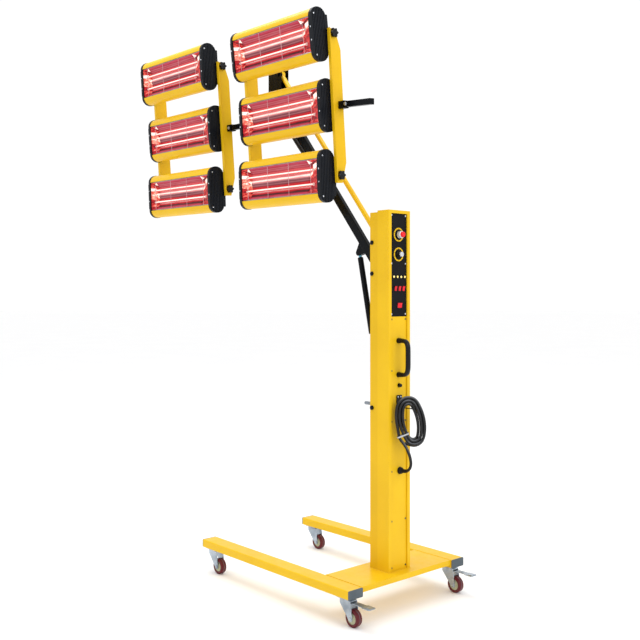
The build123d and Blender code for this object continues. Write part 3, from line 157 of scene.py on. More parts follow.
def cassettes():
    """Each cassette's name, which its nodes end with, its body and its axes."""
    for rack, rack_name in enumerate(("back", "front")):
        for kind in HEAD_RAISES:
            name = rack_name + "_" + kind
            yield name, "bank" if kind == "middle" else "cassette_" + name, head_axes(rack, kind)


# Surfaces


def spread(x, y, z):
    """Rows of points from their coordinates, each given for every point, for a row, for a column or for all."""
    return np.stack(np.broadcast_arrays(x, y, z), axis=-1)


def grid(points, wrap=False, flip=False):
    """A sheet through rows of points: each quad joins a point to the next ones along and across the grid."""
    rows, columns = points.shape[:2]
    index = np.arange(rows * columns).reshape(rows, columns)
    if wrap:
        index = np.hstack([index, index[:, :1]])
    quads = np.stack([index[:-1, :-1], index[1:, :-1], index[1:, 1:], index[:-1, 1:]], axis=-1).reshape(-1, 4)
    return points.reshape(-1, 3), quads[:, ::-1] if flip else quads


def turned(axes, profile, steps=32, lobes=0, depth=0):
    """A profile of radius and height turned round the axes' z: x and y are the radius times cosine and sine. The
    radius swells and shrinks where there are lobes: one plus depth times the cosine of lobes turns."""
    radius, height = np.array(profile, dtype=float).T
    angle = np.linspace(0, 2 * pi, steps, endpoint=False)
    swell = 1 + depth * np.cos(lobes * angle)
    local = spread(np.outer(radius, swell * np.cos(angle)), np.outer(radius, swell * np.sin(angle)), height[:, None])
    return grid(axes.points(local), wrap=True, flip=True)


def carried(path, radii, steps=16, wide=1, power=1):
    """A tube along a path: at each point a ring of its radius stands square to the path's tangent. Its sine and
    cosine are raised to a power under one for a squarer section, and one of them is widened."""
    path = np.asarray(path, dtype=float)
    radii = np.broadcast_to(np.asarray(radii, dtype=float), (len(path),))
    path = np.vstack([path[:1], path, path[-1:]])
    radii = np.concatenate([[0.001], radii, [0.001]])
    tangent = np.gradient(path, axis=0)
    tangent[0], tangent[-1] = path[2] - path[0], path[-1] - path[-3]
    tangent /= np.linalg.norm(tangent, axis=1, keepdims=True)
    steady = np.zeros(3)
    steady[int(np.argmin(path.max(axis=0) - path.min(axis=0)))] = 1
    side = np.cross(tangent, steady)
    side /= np.linalg.norm(side, axis=1, keepdims=True)
    other = np.cross(tangent, side)
    angle = np.linspace(0, 2 * pi, steps, endpoint=False)
    in_plane, across = (np.sign(wave) * np.abs(wave) ** power for wave in (np.cos(angle), np.sin(angle)))
    ring = side[:, None] * in_plane[None, :, None] + other[:, None] * (wide * across)[None, :, None]
    return grid(path[:, None] + ring * radii[:, None, None], wrap=True, flip=True)


def facets(outer, inner, flip=False):
    """Flat triangles between two rows of points: each gap of the rows has one on the outer row, one on the inner."""
    count = len(outer)
    gap = np.arange(count - 1)
    first = np.stack([gap, gap + 1, gap + count], axis=1)
    second = np.stack([gap + 1, gap + 1 + count, gap + count], axis=1)
    faces = np.stack([first, second], axis=1).reshape(-1, 3)
    return np.vstack([outer, inner]), faces[:, ::-1] if flip else faces


def piece(name, surfaces, finish, body, smooth=True, stands_for=(), shares=None, tones=None):
    """One mesh object made of several surfaces, finished, riding on its body, with the angle-based shading."""
    counts = np.cumsum([0] + [len(points) for points, _ in surfaces])
    points = np.vstack([points for points, _ in surfaces]) * MM
    faces = np.vstack([quads + start for (_, quads), start in zip(surfaces, counts)])
    mesh = bpy.data.meshes.new(name)
    mesh.from_pydata(points.tolist(), [], faces.tolist())
    if shares is not None:
        attribute = mesh.attributes.new("share", "FLOAT_VECTOR", "POINT")
        attribute.data.foreach_set("vector", np.asarray(shares, dtype=np.float32).ravel())
    if tones is not None:
        mesh.attributes.new("tone", "FLOAT", "FACE").data.foreach_set("value", np.asarray(tones, dtype=np.float32))
    mesh.validate()
    mesh.shade_smooth()
    if smooth:
        mesh.set_sharp_from_angle(angle=radians(32))
    else:
        mesh.shade_flat()
    made = bpy.data.objects.new(name, mesh)
    bpy.context.scene.collection.objects.link(made)
    made.data.materials.append(finish)
    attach(made, body)
    if stands_for:
        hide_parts(*stands_for)
    return made


# Finishes


class Finish:
    """A material and short ways to add and join its nodes."""

    def __init__(self, name):
        self.material = bpy.data.materials.new(name)
        self.material.use_nodes = True
        self.tree = self.material.node_tree
        self.shader = self.tree.nodes["Principled BSDF"]
        self.place = self.add("TexCoord").outputs["Object"]

    def feed(self, socket, value):
        """An output is joined to the socket, and a plain value is set on it."""
        if isinstance(value, bpy.types.NodeSocket):
            self.tree.links.new(value, socket)
        else:
            socket.default_value = (*value[:3], 1) if socket.type == "RGBA" else value

    def add(self, kind, inputs=None, **settings):
        """A node with its settings and inputs."""
        node = self.tree.nodes.new("ShaderNode" + kind)
        for key, value in settings.items():
            setattr(node, key, value)
        for key, value in (inputs or {}).items():
            self.feed(node.inputs[key], value)
        return node

    def set(self, **inputs):
        """Feed the shader's own inputs, and give the finished material."""
        for key, value in inputs.items():
            self.feed(self.shader.inputs[key.replace("_", " ")], value)
        return self.material

    def attribute(self, name, output):
        """An attribute of the mesh."""
        return self.add("Attribute", attribute_name=name).outputs[output]

    def parts(self, vector):
        """The three parts of a vector."""
        return self.add("SeparateXYZ", {"Vector": vector}).outputs

    def noise(self, scale, detail=3, roughness=0.55, place=None, stretch=None):
        """A noise value over the object, stretched along its axes where asked."""
        place = place or self.place
        if stretch:
            place = self.add("Mapping", {"Vector": place, "Scale": stretch}).outputs[0]
        inputs = {"Vector": place, "Scale": scale, "Detail": detail, "Roughness": roughness}
        return self.add("TexNoise", inputs).outputs[0]

    def span(self, value, low, high, from_low=0.35, from_high=0.65):
        """A value moved from one range to another and kept inside it."""
        return self.add("MapRange", {"Value": value, "From Min": from_low, "From Max": from_high,
                                     "To Min": low, "To Max": high}).outputs[0]

    def mix(self, share, first, second):
        """Two colours mixed by a share."""
        return self.add("Mix", {0: share, 6: first, 7: second}, data_type="RGBA").outputs[2]

    def cloudy(self, cloud, first, second):
        """Two colours mixed by a noise's middle values."""
        return self.mix(self.span(cloud, 0, 1), first, second)

    def maths(self, operation, first, second=0):
        """One arithmetic step on values or outputs."""
        return self.add("Math", {0: first, 1: second}, operation=operation).outputs[0]

    def distance(self, first, second):
        """The root of two squares' sum."""
        squares = (self.maths("MULTIPLY", part, part) for part in (first, second))
        return self.maths("SQRT", self.maths("ADD", *squares))

    def along(self, vector, way):
        """How far a vector reaches along a way."""
        return self.add("VectorMath", {0: vector, 1: way}, operation="DOT_PRODUCT").outputs[1]

    def steps(self, value, stops):
        """A colour ramp: each stop is a share and a colour."""
        node = self.add("ValToRGB", {"Fac": value})
        while len(node.color_ramp.elements) < len(stops):
            node.color_ramp.elements.new(1)
        for element, (share, colour) in zip(node.color_ramp.elements, stops):
            element.position = share
            element.color = (*colour, 1)
        return node.outputs[0]

    def bump(self, height, strength, distance):
        """Bump from a height."""
        return self.add("Bump", {"Height": height, "Strength": strength, "Distance": distance}).outputs[0]


def toned(colour, factor, lift=0):
    """A colour darker or lighter by a factor."""
    return tuple(part * factor + lift for part in colour)


def powder_coat(name, colour, shade, roughness=0.36, peel=0.10, sheen=0.16):
    """Powder coat: faint mottling, dark speckles, orange peel and dust that dulls it."""
    finish = Finish(name)
    speckle = finish.span(finish.noise(900, 2), 0, 0.10, 0.55, 0.75)
    dust = finish.noise(22, 5, 0.7)
    return finish.set(
        Base_Color=finish.mix(speckle, finish.cloudy(finish.noise(7, 4), colour, shade), toned(colour, 0.7)),
        Roughness=finish.span(dust, roughness - 0.05, roughness + 0.08), Coat_Weight=0.03, Coat_Roughness=0.18,
        Specular_IOR_Level=sheen, Normal=finish.bump(finish.noise(420, 1), peel, 0.0004))


def moulded(name, colour, roughness=0.45, grain=0.18, sheen=0.2):
    """Moulded plastic: fine spark-eroded grain, faint flow marks and a little fading."""
    finish = Finish(name)
    flow = finish.noise(14, stretch=(1, 1, 0.25))
    return finish.set(
        Base_Color=finish.cloudy(flow, colour, toned(colour, 1.35, 0.001)), Specular_IOR_Level=sheen,
        Roughness=finish.span(finish.noise(60, 4), roughness - 0.06, roughness + 0.07),
        Normal=finish.bump(finish.noise(1500, 2), grain, 0.0002))


def plated(name, colour, dark, roughness=0.3, metallic=0.9):
    """Plated or polished steel: cloudy tone, fine rolling lines and scattered dull spots."""
    finish = Finish(name)
    cloud = finish.noise(18, 5)
    spots = finish.span(finish.noise(160), 0, 0.35, 0.60, 0.78)
    lines = finish.noise(300, 2, stretch=(1, 6, 1))
    return finish.set(
        Base_Color=finish.mix(spots, finish.cloudy(cloud, colour, dark), toned(dark, 0.5)), Metallic=metallic,
        Roughness=finish.span(cloud, roughness - 0.06, roughness + 0.12), Normal=finish.bump(lines, 0.12, 0.0002))


def gloss_black(name, colour=(0.0035, 0.0037, 0.0042), roughness=0.22, sheen=0.12):
    """Gloss black paint or plastic: soft orange peel, hairline rubs and a clear coat."""
    finish = Finish(name)
    rubs = finish.noise(120, 5, stretch=(1, 1, 0.12))
    return finish.set(
        Base_Color=finish.cloudy(finish.noise(9), colour, toned(colour, 1.6)), Coat_Weight=0.02, Coat_Roughness=0.12,
        Roughness=finish.span(rubs, roughness - 0.04, roughness + 0.10), Specular_IOR_Level=sheen,
        Normal=finish.bump(finish.noise(260, 1), 0.08, 0.0005))


def ribbed_cap(name, colour, axes):
    """An end cap's plastic: painted shade in the grooves and painted highlights on the rib edges, by the distance from
    the cassette's middle plane.
    """
    finish = Finish(name)
    face = axes.ways[0]
    out = finish.maths("SUBTRACT", finish.along(finish.place, tuple(face)), float(axes.origin @ face) * MM)
    side = finish.maths("PINGPONG", out, RIB_PITCH / 2 * MM)
    half_rib = (RIB_PITCH - RIB_GROOVE) / 2 * MM
    tint = finish.cloudy(finish.noise(14, stretch=(1, 1, 0.25)), colour, toned(colour, 1.4))
    # Painted highlight: the rib edges beside each groove are lightened.
    tint = finish.mix(finish.span(side, 0, 1, 1.2 * MM, half_rib), tint, toned(colour, 3.2))
    # Painted shade: the grooves are darkened.
    tint = finish.mix(finish.maths("GREATER_THAN", side, half_rib), tint, toned(colour, 0.3))
    return finish.set(Base_Color=tint, Roughness=finish.span(finish.noise(60, 4), 0.26, 0.38),
                      Specular_IOR_Level=0.14, Normal=finish.bump(finish.noise(1500, 2), 0.10, 0.0002))


def textured_charcoal(name, colour=(0.006, 0.006, 0.0068)):
    """Fine textured paint: a dense pimple pattern over a faint cloud."""
    finish = Finish(name)
    pimples = finish.add("TexVoronoi", {"Vector": finish.place, "Scale": 900}).outputs[0]
    return finish.set(Base_Color=finish.cloudy(finish.noise(10, 4), colour, toned(colour, 1.5)), Roughness=0.55,
                      Specular_IOR_Level=0.08, Normal=finish.bump(pimples, 0.25, 0.0003))


def cord_jacket(name, colour=(0.006, 0.0062, 0.0070)):
    """Cord jacket: matt rubber with bloom and grain, and a painted grey-blue highlight along its upper side."""
    finish = Finish(name)
    bloom = finish.noise(35, 5, 0.65)
    # Painted highlight: the side facing up and to the left, toward the key light, is lightened to grey-blue and broken
    # up by the bloom.
    upward = finish.along(finish.add("TexCoord").outputs["Normal"], (-0.62, 0.33, 0.71))
    painted_highlight = finish.maths("MULTIPLY", finish.span(upward, 0, 1, 0.72, 0.97), finish.span(bloom, 0.35, 1))
    return finish.set(
        Base_Color=finish.mix(painted_highlight, finish.cloudy(bloom, colour, toned(colour, 1.7)), (0.17, 0.18, 0.20)),
        Roughness=finish.span(bloom, 0.26, 0.42), Specular_IOR_Level=0.3,
        Normal=finish.bump(finish.noise(700, 2), 0.15, 0.0003))


def tread_and_hub(name, centre):
    """A castor wheel: its tread, grey centre line and pale hub by distance from the axle and across the wheel."""
    finish = Finish(name)
    across = finish.parts(finish.add("Mapping", {"Vector": finish.place, "Location": toned(centre, -MM)}).outputs[0])
    share = finish.maths("DIVIDE", finish.distance(across[0], across[2]), WHEEL_RADIUS * MM)
    share = finish.maths("ADD", share, finish.span(finish.noise(90, 2), -0.01, 0.01))
    hub, bolt, tread, line = (0.46, 0.46, 0.30), (0.30, 0.31, 0.33), (0.105, 0.004, 0.010), (0.15, 0.14, 0.15)
    tint = finish.steps(share, [(0, bolt), (0.26, bolt), (0.28, hub), (0.63, hub), (0.66, tread), (1, tread)])
    middle = finish.maths("LESS_THAN", finish.maths("ABSOLUTE", across[1]), 0.9 * MM)
    tint = finish.mix(finish.maths("MULTIPLY", middle, finish.maths("GREATER_THAN", share, 0.93)), tint, line)
    dust = finish.noise(60, 5)
    return finish.set(
        Base_Color=finish.mix(finish.span(dust, 0, 0.10), tint, (0.25, 0.20, 0.18)), Specular_IOR_Level=0.22,
        Roughness=finish.span(dust, 0.28, 0.45), Normal=finish.bump(finish.noise(500), 0.12, 0.0004))


def mirror_trough(name):
    """The lamp's reflector: painted reflections as streaks across it by the share down its section, broken along it by
    stretched noise, with emission as a painted glow.
    """
    finish = Finish(name)
    share = finish.attribute("share", "Vector")
    ripple = finish.noise(3, place=share, stretch=(1.5, 14, 1))
    down = finish.maths("ADD", finish.parts(share)[1], finish.span(ripple, -0.010, 0.010))
    magenta, crimson, mauve = (0.41, 0.042, 0.075), (0.31, 0.010, 0.024), (0.38, 0.10, 0.12)
    rose, pink, pale, white = (0.60, 0.090, 0.10), (0.70, 0.24, 0.23), (0.88, 0.56, 0.50), (1, 0.84, 0.76)
    umber, wine, red, night = (0.29, 0.11, 0.12), (0.12, 0.020, 0.030), (0.48, 0.008, 0.014), (0.035, 0.002, 0.004)
    # Painted reflections: the bands down the section, from near black through reds to white, are reflections painted
    # onto the mirror.
    tint = finish.steps(down, [
        (0, magenta), (0.07, magenta), (0.09, crimson), (0.115, mauve), (0.14, crimson), (0.165, mauve),
        (0.19, crimson), (0.22, rose), (0.265, rose), (0.285, pale), (0.325, pale), (0.345, pink), (0.385, rose),
        (0.415, white), (0.435, white), (0.46, pink), (0.495, umber), (0.53, wine), (0.56, umber), (0.59, wine),
        (0.62, red), (0.675, red), (0.72, white), (0.74, white), (0.785, rose), (0.82, red), (0.845, night),
        (0.885, night), (0.91, crimson), (0.94, magenta)])
    broken = finish.noise(5, 4, place=share, stretch=(5, 70, 1))
    tint = finish.mix(finish.span(broken, 0, 0.38, 0.54, 0.72), tint, (0.30, 0.02, 0.035))
    brushed = finish.noise(60, place=share, stretch=(1, 8, 1))
    # Emission gives the painted reflections a painted glow.
    return finish.set(Base_Color=tint, Roughness=0.3, Specular_IOR_Level=0.15, Emission_Color=tint,
                      Emission_Strength=0.40, Normal=finish.bump(brushed, 0.15, 0.0006))


def trough_end(name):
    """The reflector's sloping ends: each facet has its own painted reflection, a tone from near black through red to
    white, and emission as a painted glow.
    """
    finish = Finish(name)
    mosaic = finish.add("TexVoronoi", {"Vector": finish.place, "Scale": 170}).outputs["Color"]
    cell = finish.span(finish.parts(mosaic)[0], -0.11, 0.11, 0, 1)
    tint = finish.steps(finish.maths("ADD", finish.attribute("tone", "Fac"), cell), [
        (0, (0.05, 0.003, 0.006)), (0.22, (0.22, 0.007, 0.012)), (0.42, (0.47, 0.012, 0.016)),
        (0.60, (0.68, 0.12, 0.08)), (0.76, (0.86, 0.46, 0.34)), (0.88, (1, 0.88, 0.78))])
    # Emission gives the painted reflections a painted glow.
    return finish.set(Base_Color=tint, Roughness=0.3, Specular_IOR_Level=0.15, Emission_Color=tint,
                      Emission_Strength=0.36, Normal=finish.bump(finish.noise(80), 0.12, 0.0006))


def ruby_quartz(name):
    """Ruby quartz tube: deep red glass-like gloss with a painted pale highlight along its top, wavering along the tube,
    and darker underneath.
    """
    finish = Finish(name)
    share = finish.attribute("share", "Vector")
    ripple = finish.noise(6, 2, place=share, stretch=(4, 20, 1))
    # Painted highlight: the pale and white stops round the tube's upper outer side.
    tint = finish.steps(finish.maths("ADD", finish.parts(share)[1], finish.span(ripple, -0.02, 0.02)), [
        (0, (0.45, 0.01, 0.015)), (0.13, (0.80, 0.36, 0.30)), (0.18, (1, 0.88, 0.80)), (0.25, (1, 0.86, 0.78)),
        (0.31, (0.66, 0.14, 0.12)), (0.45, (0.50, 0.010, 0.016)), (0.60, (0.16, 0.004, 0.008)),
        (0.80, (0.30, 0.008, 0.012)), (1, (0.45, 0.01, 0.015))])
    # Emission brightens the painted highlight.
    return finish.set(
        Base_Color=tint, Roughness=0.12, Specular_IOR_Level=0.3, Coat_Weight=0.1, Coat_Roughness=0.04,
        Emission_Color=tint, Emission_Strength=0.42, Normal=finish.bump(finish.noise(200), 0.04, 0.0003))


def black_and_plated(name, colour, border):
    """Gloss black behind a border across the lamp and plated steel in front of it, both faintly clouded."""
    finish = Finish(name)
    plate = finish.maths("GREATER_THAN", finish.parts(finish.place)[0], border * MM)
    cloud = finish.noise(60, 4)
    steel = finish.cloudy(cloud, (0.26, 0.29, 0.33), (0.16, 0.18, 0.21))
    return finish.set(
        Base_Color=finish.mix(plate, colour, steel), Metallic=finish.maths("MULTIPLY", plate, 0.7),
        Roughness=finish.span(cloud, 0.24, 0.36), Specular_IOR_Level=0.15,
        Normal=finish.bump(finish.noise(300), 0.08, 0.0003))


def dial_print(name, middle, printed):
    """Black rings whose outer band alone is printed: the distance from the nearer dial's middle tells them apart."""
    finish = Finish(name)
    parts = finish.parts(finish.place)
    across = finish.maths("SUBTRACT", parts[1], middle[0] * MM)
    cloud = finish.noise(80)
    tint = finish.cloudy(cloud, (0.005, 0.005, 0.0055), (0.008, 0.008, 0.009))
    for height, colour in zip(middle[1:], printed):
        radius = finish.distance(across, finish.maths("SUBTRACT", parts[2], height * MM))
        band = finish.maths("MULTIPLY", finish.maths("GREATER_THAN", radius, 20.4 * MM),
                            finish.maths("LESS_THAN", radius, 26.5 * MM))
        tint = finish.mix(band, tint, colour)
    return finish.set(Base_Color=tint, Roughness=finish.span(cloud, 0.3, 0.42), Specular_IOR_Level=0.15,
                      Normal=finish.bump(finish.noise(600), 0.08, 0.0003))


# Settings that a user would change


def paint(name, description, colour):
    """A setting for a paint's colour."""
    return FloatVectorProperty(name=name, description=description, subtype="COLOR", size=3, min=0, max=1,
                               default=colour)


def measure(name, description, value, low, high):
    """A setting for a length in metres."""
    return FloatProperty(name=name, description=description, unit="LENGTH", default=value, min=low, max=high)


def number(name, description, value, unit="NONE"):
    """A setting for a plain number."""
    return FloatProperty(name=name, description=description, default=value, unit=unit)


class LampColours(bpy.types.PropertyGroup):
    """Colours of the lamp's paints, as linear light."""

    body: paint("Body", "Powder coat of the body", (0.78, 0.482, 0.008))
    body_shade: paint("Body shade", "Darker tone of the body's mottling", (0.74, 0.446, 0.007))
    arm: paint("Arm", "Paint of the arm, bracket and crossbar", (0.0016, 0.0022, 0.0036))
    cap: paint("Caps", "Plastic of the cassettes' end caps", (0.0050, 0.0060, 0.0085))


class LampSizes(bpy.types.PropertyGroup):
    """Sizes of the pieces that are added to the frame."""

    cord_diameter: measure("Cord diameter", "Diameter of the mains cord", 0.011, 0.004, 0.02)
    quartz_diameter: measure("Quartz diameter", "Diameter of each quartz tube", 0.011, 0.004, 0.02)
    wire_diameter: measure("Guard wire", "Diameter of the guard wires", 0.0018, 0.0005, 0.004)
    wires: IntProperty(name="Guard wires", description="Guard wires across each window", default=4, min=0, max=12)


class StageSettings(bpy.types.PropertyGroup):
    """Light and camera."""

    lens: FloatProperty(name="Lens", description="Focal length", unit="CAMERA", default=50.5, min=10, max=200)
    frame_shift: number("Shift", "Vertical shift of the frame", -0.0422)
    key: number("Key light", "Power of the key light", 46, "POWER")
    fill: number("Fill light", "Power of the fill light", 3, "POWER")
    top: number("Top light", "Power of the light overhead", 95, "POWER")
    room: number("Room light", "Strength of the room's own light", 1.05)


# Mains cord


CORD_PITCH, CORD_LAYER = 11.9, 11.6
COIL_HALF_WIDTH, COIL_HALF_HEIGHT = 53.5, 93
COIL_LAYERS, COIL_LAYER_QUARTERS, COIL_QUARTERS = 2, 10, 20
COIL_FLANK, COIL_TURN, COIL_TILT = radians(21), radians(40), radians(11)
COIL_CENTRE = (4, -12, 686)
CLIMB_SHARE = 0.75
GLAND_HEIGHT, GLAND_SHIFT, GLAND_REACH = 500, -6, 12.3
LEAD_ROUTE = ((0, 0, 0), (-20, 0, 0), (-37.8, 1.2, 10), (-48.2, 3.3, 27.4), (-48.5, 5.9, 48.2), (-45, 11, 71),
              (-33.7, 17.2, 97.7))
LEAD_FINISH = ((52, -1.4), (30, -0.5), (13, 0))
LEVEL_RIGHT = np.array([-sin(COIL_TURN), -cos(COIL_TURN), 0])
COIL_RIGHT = LEVEL_RIGHT * cos(COIL_TILT) + np.array([0, 0, sin(COIL_TILT)])
COIL_UP = np.array([0, 0, cos(COIL_TILT)]) - LEVEL_RIGHT * sin(COIL_TILT)
COIL_OUT = np.array([cos(COIL_TURN), -sin(COIL_TURN), 0])
QUARTER_HEADINGS = ((-1, 0), (0, 1), (1, 0), (0, -1))


def coil_inward(quarter):
    """How far the spiral has wound inward after so many quarter turns."""
    cycle = quarter % (2 * COIL_LAYER_QUARTERS)
    return min(cycle, 2 * COIL_LAYER_QUARTERS - cycle) * CORD_PITCH / 4


def coil_station(quarter):
    """Place and heading of the coil's middle line after so many quarter turns."""
    inward = coil_inward(quarter)
    reversing = 0 < quarter < COIL_QUARTERS and quarter % COIL_LAYER_QUARTERS == 0
    layer = max(quarter - 1, 0) // COIL_LAYER_QUARTERS
    depth = (layer + (0.5 if reversing else 0) - (COIL_LAYERS - 1) / 2) * CORD_LAYER
    across, up = QUARTER_HEADINGS[quarter % 4]
    spot = (at(*COIL_CENTRE) + COIL_RIGHT * across * (COIL_HALF_WIDTH - inward)
            + COIL_UP * up * (COIL_HALF_HEIGHT - inward) + COIL_OUT * depth)
    heading = COIL_RIGHT * up - COIL_UP * across
    if reversing:
        quarter_length = (COIL_HALF_WIDTH + COIL_HALF_HEIGHT) * CLIMB_SHARE
        heading = heading + COIL_OUT * (CORD_LAYER * CLIMB_SHARE / quarter_length)
    return spot, heading / np.linalg.norm(heading)


def flank_to_end(quarter):
    """How the two arcs of a quarter turn share it, so that all the loops lie evenly inside each other."""
    flank_at, end_at = (quarter, quarter + 1) if quarter % 2 == 0 else (quarter + 1, quarter)
    wide = COIL_HALF_WIDTH - coil_inward(flank_at)
    tall = COIL_HALF_HEIGHT - coil_inward(end_at)
    flank_radius = ((tall * cos(COIL_FLANK) - wide * (1 - sin(COIL_FLANK)))
                    / (cos(COIL_FLANK) + sin(COIL_FLANK) - 1))
    end_radius = (wide - flank_radius * (1 - cos(COIL_FLANK))) / cos(COIL_FLANK)
    rest = pi / 2 - COIL_FLANK
    ratio = (end_radius * sin(rest / 2) * cos(COIL_FLANK / 2)
             / (flank_radius * sin(COIL_FLANK / 2) * cos(rest / 2)))
    return ratio if quarter % 2 == 0 else 1 / ratio


def quarter_corners(quarter):
    """Where the tangents of a quarter turn's four arc halves cross: these steer the cord's smooth line."""
    start, start_way = coil_station(quarter)
    end, end_way = coil_station(quarter + 1)
    ratio = flank_to_end(quarter)
    chord = end - start
    ways = start_way + end_way * ratio
    spread = 2 * ratio * (1 - start_way @ end_way)
    reach = (sqrt((chord @ ways) ** 2 + spread * (chord @ chord)) - chord @ ways) / spread
    first, second = start + start_way * reach, end - end_way * (ratio * reach)
    joint = (first * ratio + second) / (1 + ratio)
    corners = []
    for begin, corner, stop in ((start, first, joint), (joint, second, end)):
        heading_in, heading_out = corner - begin, stop - corner
        turned_by = np.arccos(np.clip(heading_in @ heading_out / np.linalg.norm(heading_in)
                                      / np.linalg.norm(heading_out), -1, 1))
        near = np.tan(turned_by / 4) / np.tan(turned_by / 2)
        corners += [begin + heading_in * near, stop - heading_out * near]
    return corners


def cord_route():
    """The points that steer the cord: out of the gland and up, then round the coil to its end on the inside."""
    route = [at(COVER_FACE - GLAND_REACH + back, GLAND_SHIFT + left, GLAND_HEIGHT + up)
             for back, left, up in LEAD_ROUTE]
    start = coil_station(0)[0]
    route += [start - COIL_UP * drop + COIL_RIGHT * lean for drop, lean in LEAD_FINISH]
    for quarter in range(COIL_QUARTERS):
        route += quarter_corners(quarter)
    return route[:-2]


class CURINGLAMP_OT_cord(bpy.types.Operator):
    """Mains cord from the gland up into its hung coil, with the gland's tapered relief"""

    bl_idname = "curing_lamp.cord"
    bl_label = "Mains cord"

    def execute(self, context):
        sizes = context.scene.lamp_sizes
        route = cord_route()
        curve = bpy.data.curves.new("mains_cord", "CURVE")
        curve.dimensions = "3D"
        curve.bevel_depth = sizes.cord_diameter / 2
        curve.bevel_resolution = 4
        curve.resolution_u = 6
        curve.use_fill_caps = True
        spline = curve.splines.new("NURBS")
        spline.points.add(len(route) - 1)
        for point, spot in zip(spline.points, route):
            point.co = (*(spot * MM), 1)
        spline.order_u = 3
        spline.use_endpoint_u = True
        cord = bpy.data.objects.new("mains_cord", curve)
        context.scene.collection.objects.link(cord)
        cord.data.materials.append(cord_jacket("cord_jacket"))
        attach(cord, "base")
        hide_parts("cord_coil", "cord_lead")
        self.relief(*route[:3])
        return {"FINISHED"}

    def relief(self, first, second, third):
        """The gland's ribbed sleeve, tapering along the cord's first bend: a curve of squares of the share along it."""
        shares = np.linspace(0, 0.9, 37)[:, None]
        middle = (second + third) / 2
        path = first * (1 - shares) ** 2 + second * 2 * shares * (1 - shares) + middle * shares ** 2
        path = np.vstack([first + [0.35, 0, 0], path])
        steps = np.linspace(0, 1, len(path))
        groove = np.where((steps > 0.15) & (steps < 0.9), 0.45 * (np.sin(steps * 18 * pi) > 0.2), 0)
        relief = carried(path, 7.7 - 1.7 * steps - groove, steps=24)
        piece("gland_relief", [relief], moulded("relief_rubber", (0.005, 0.005, 0.006), roughness=0.4), "base")


# Lamp windows


# The trough's section as depth and height, and the heights at which its lines end on the window's short edges
TROUGH = np.array([(0, 61), (-12, 47), (-18, 37), (-20, 26), (-18.5, 12), (-14, 1), (-18.5, -10), (-20, -24),
                   (-18, -36), (-12, -47), (0, -61)], dtype=float)
RIM_UPS = np.array([61, 60, 57, 50, 38, 25, 8, -12, -30, -48, -61], dtype=float)
# Painted reflection tones of an end's facets in hundredths from the top down: first the ring by the trough, then the
# ring by the rim
NEAR_TONES = (50, 98, 14, 10, 42, 50, 62, 84, 98, 98, 50, 42, 28, 40, 44, 24, 32, 18, 42, 28,
              42, 44, 14, 8, 60, 96, 98, 92, 60, 44, 36, 46, 26, 38, 42, 30, 34, 20, 46, 30)
FAR_TONES = (40, 96, 28, 12, 46, 40, 50, 44, 66, 92, 64, 74, 60, 56, 28, 14, 46, 56, 20, 34,
             44, 46, 34, 10, 48, 38, 50, 94, 92, 60, 60, 78, 62, 66, 32, 18, 42, 58, 26, 38)
TUBE_UPS, TUBE_DEPTH, TUBE_START, TUBE_SHORTER, COLLAR_START = (25, -28), 13.5, 38, 64, 28
SHEET, PLAY = 0.8, 0.4


def window_share(points, axes, length):
    """Share of each point along the window, down it, and in from its face."""
    depth, up, along = ((points - axes.origin) @ axes.ways.T).T
    return spread(along / length, 0.5 - up / 130, depth / HEAD_DEPTH)


def thicken(made, thickness):
    """Give a flat piece its sheet's thickness in millimetres, behind the drawn face."""
    made.modifiers.new("sheet", "SOLIDIFY").thickness = -thickness * MM


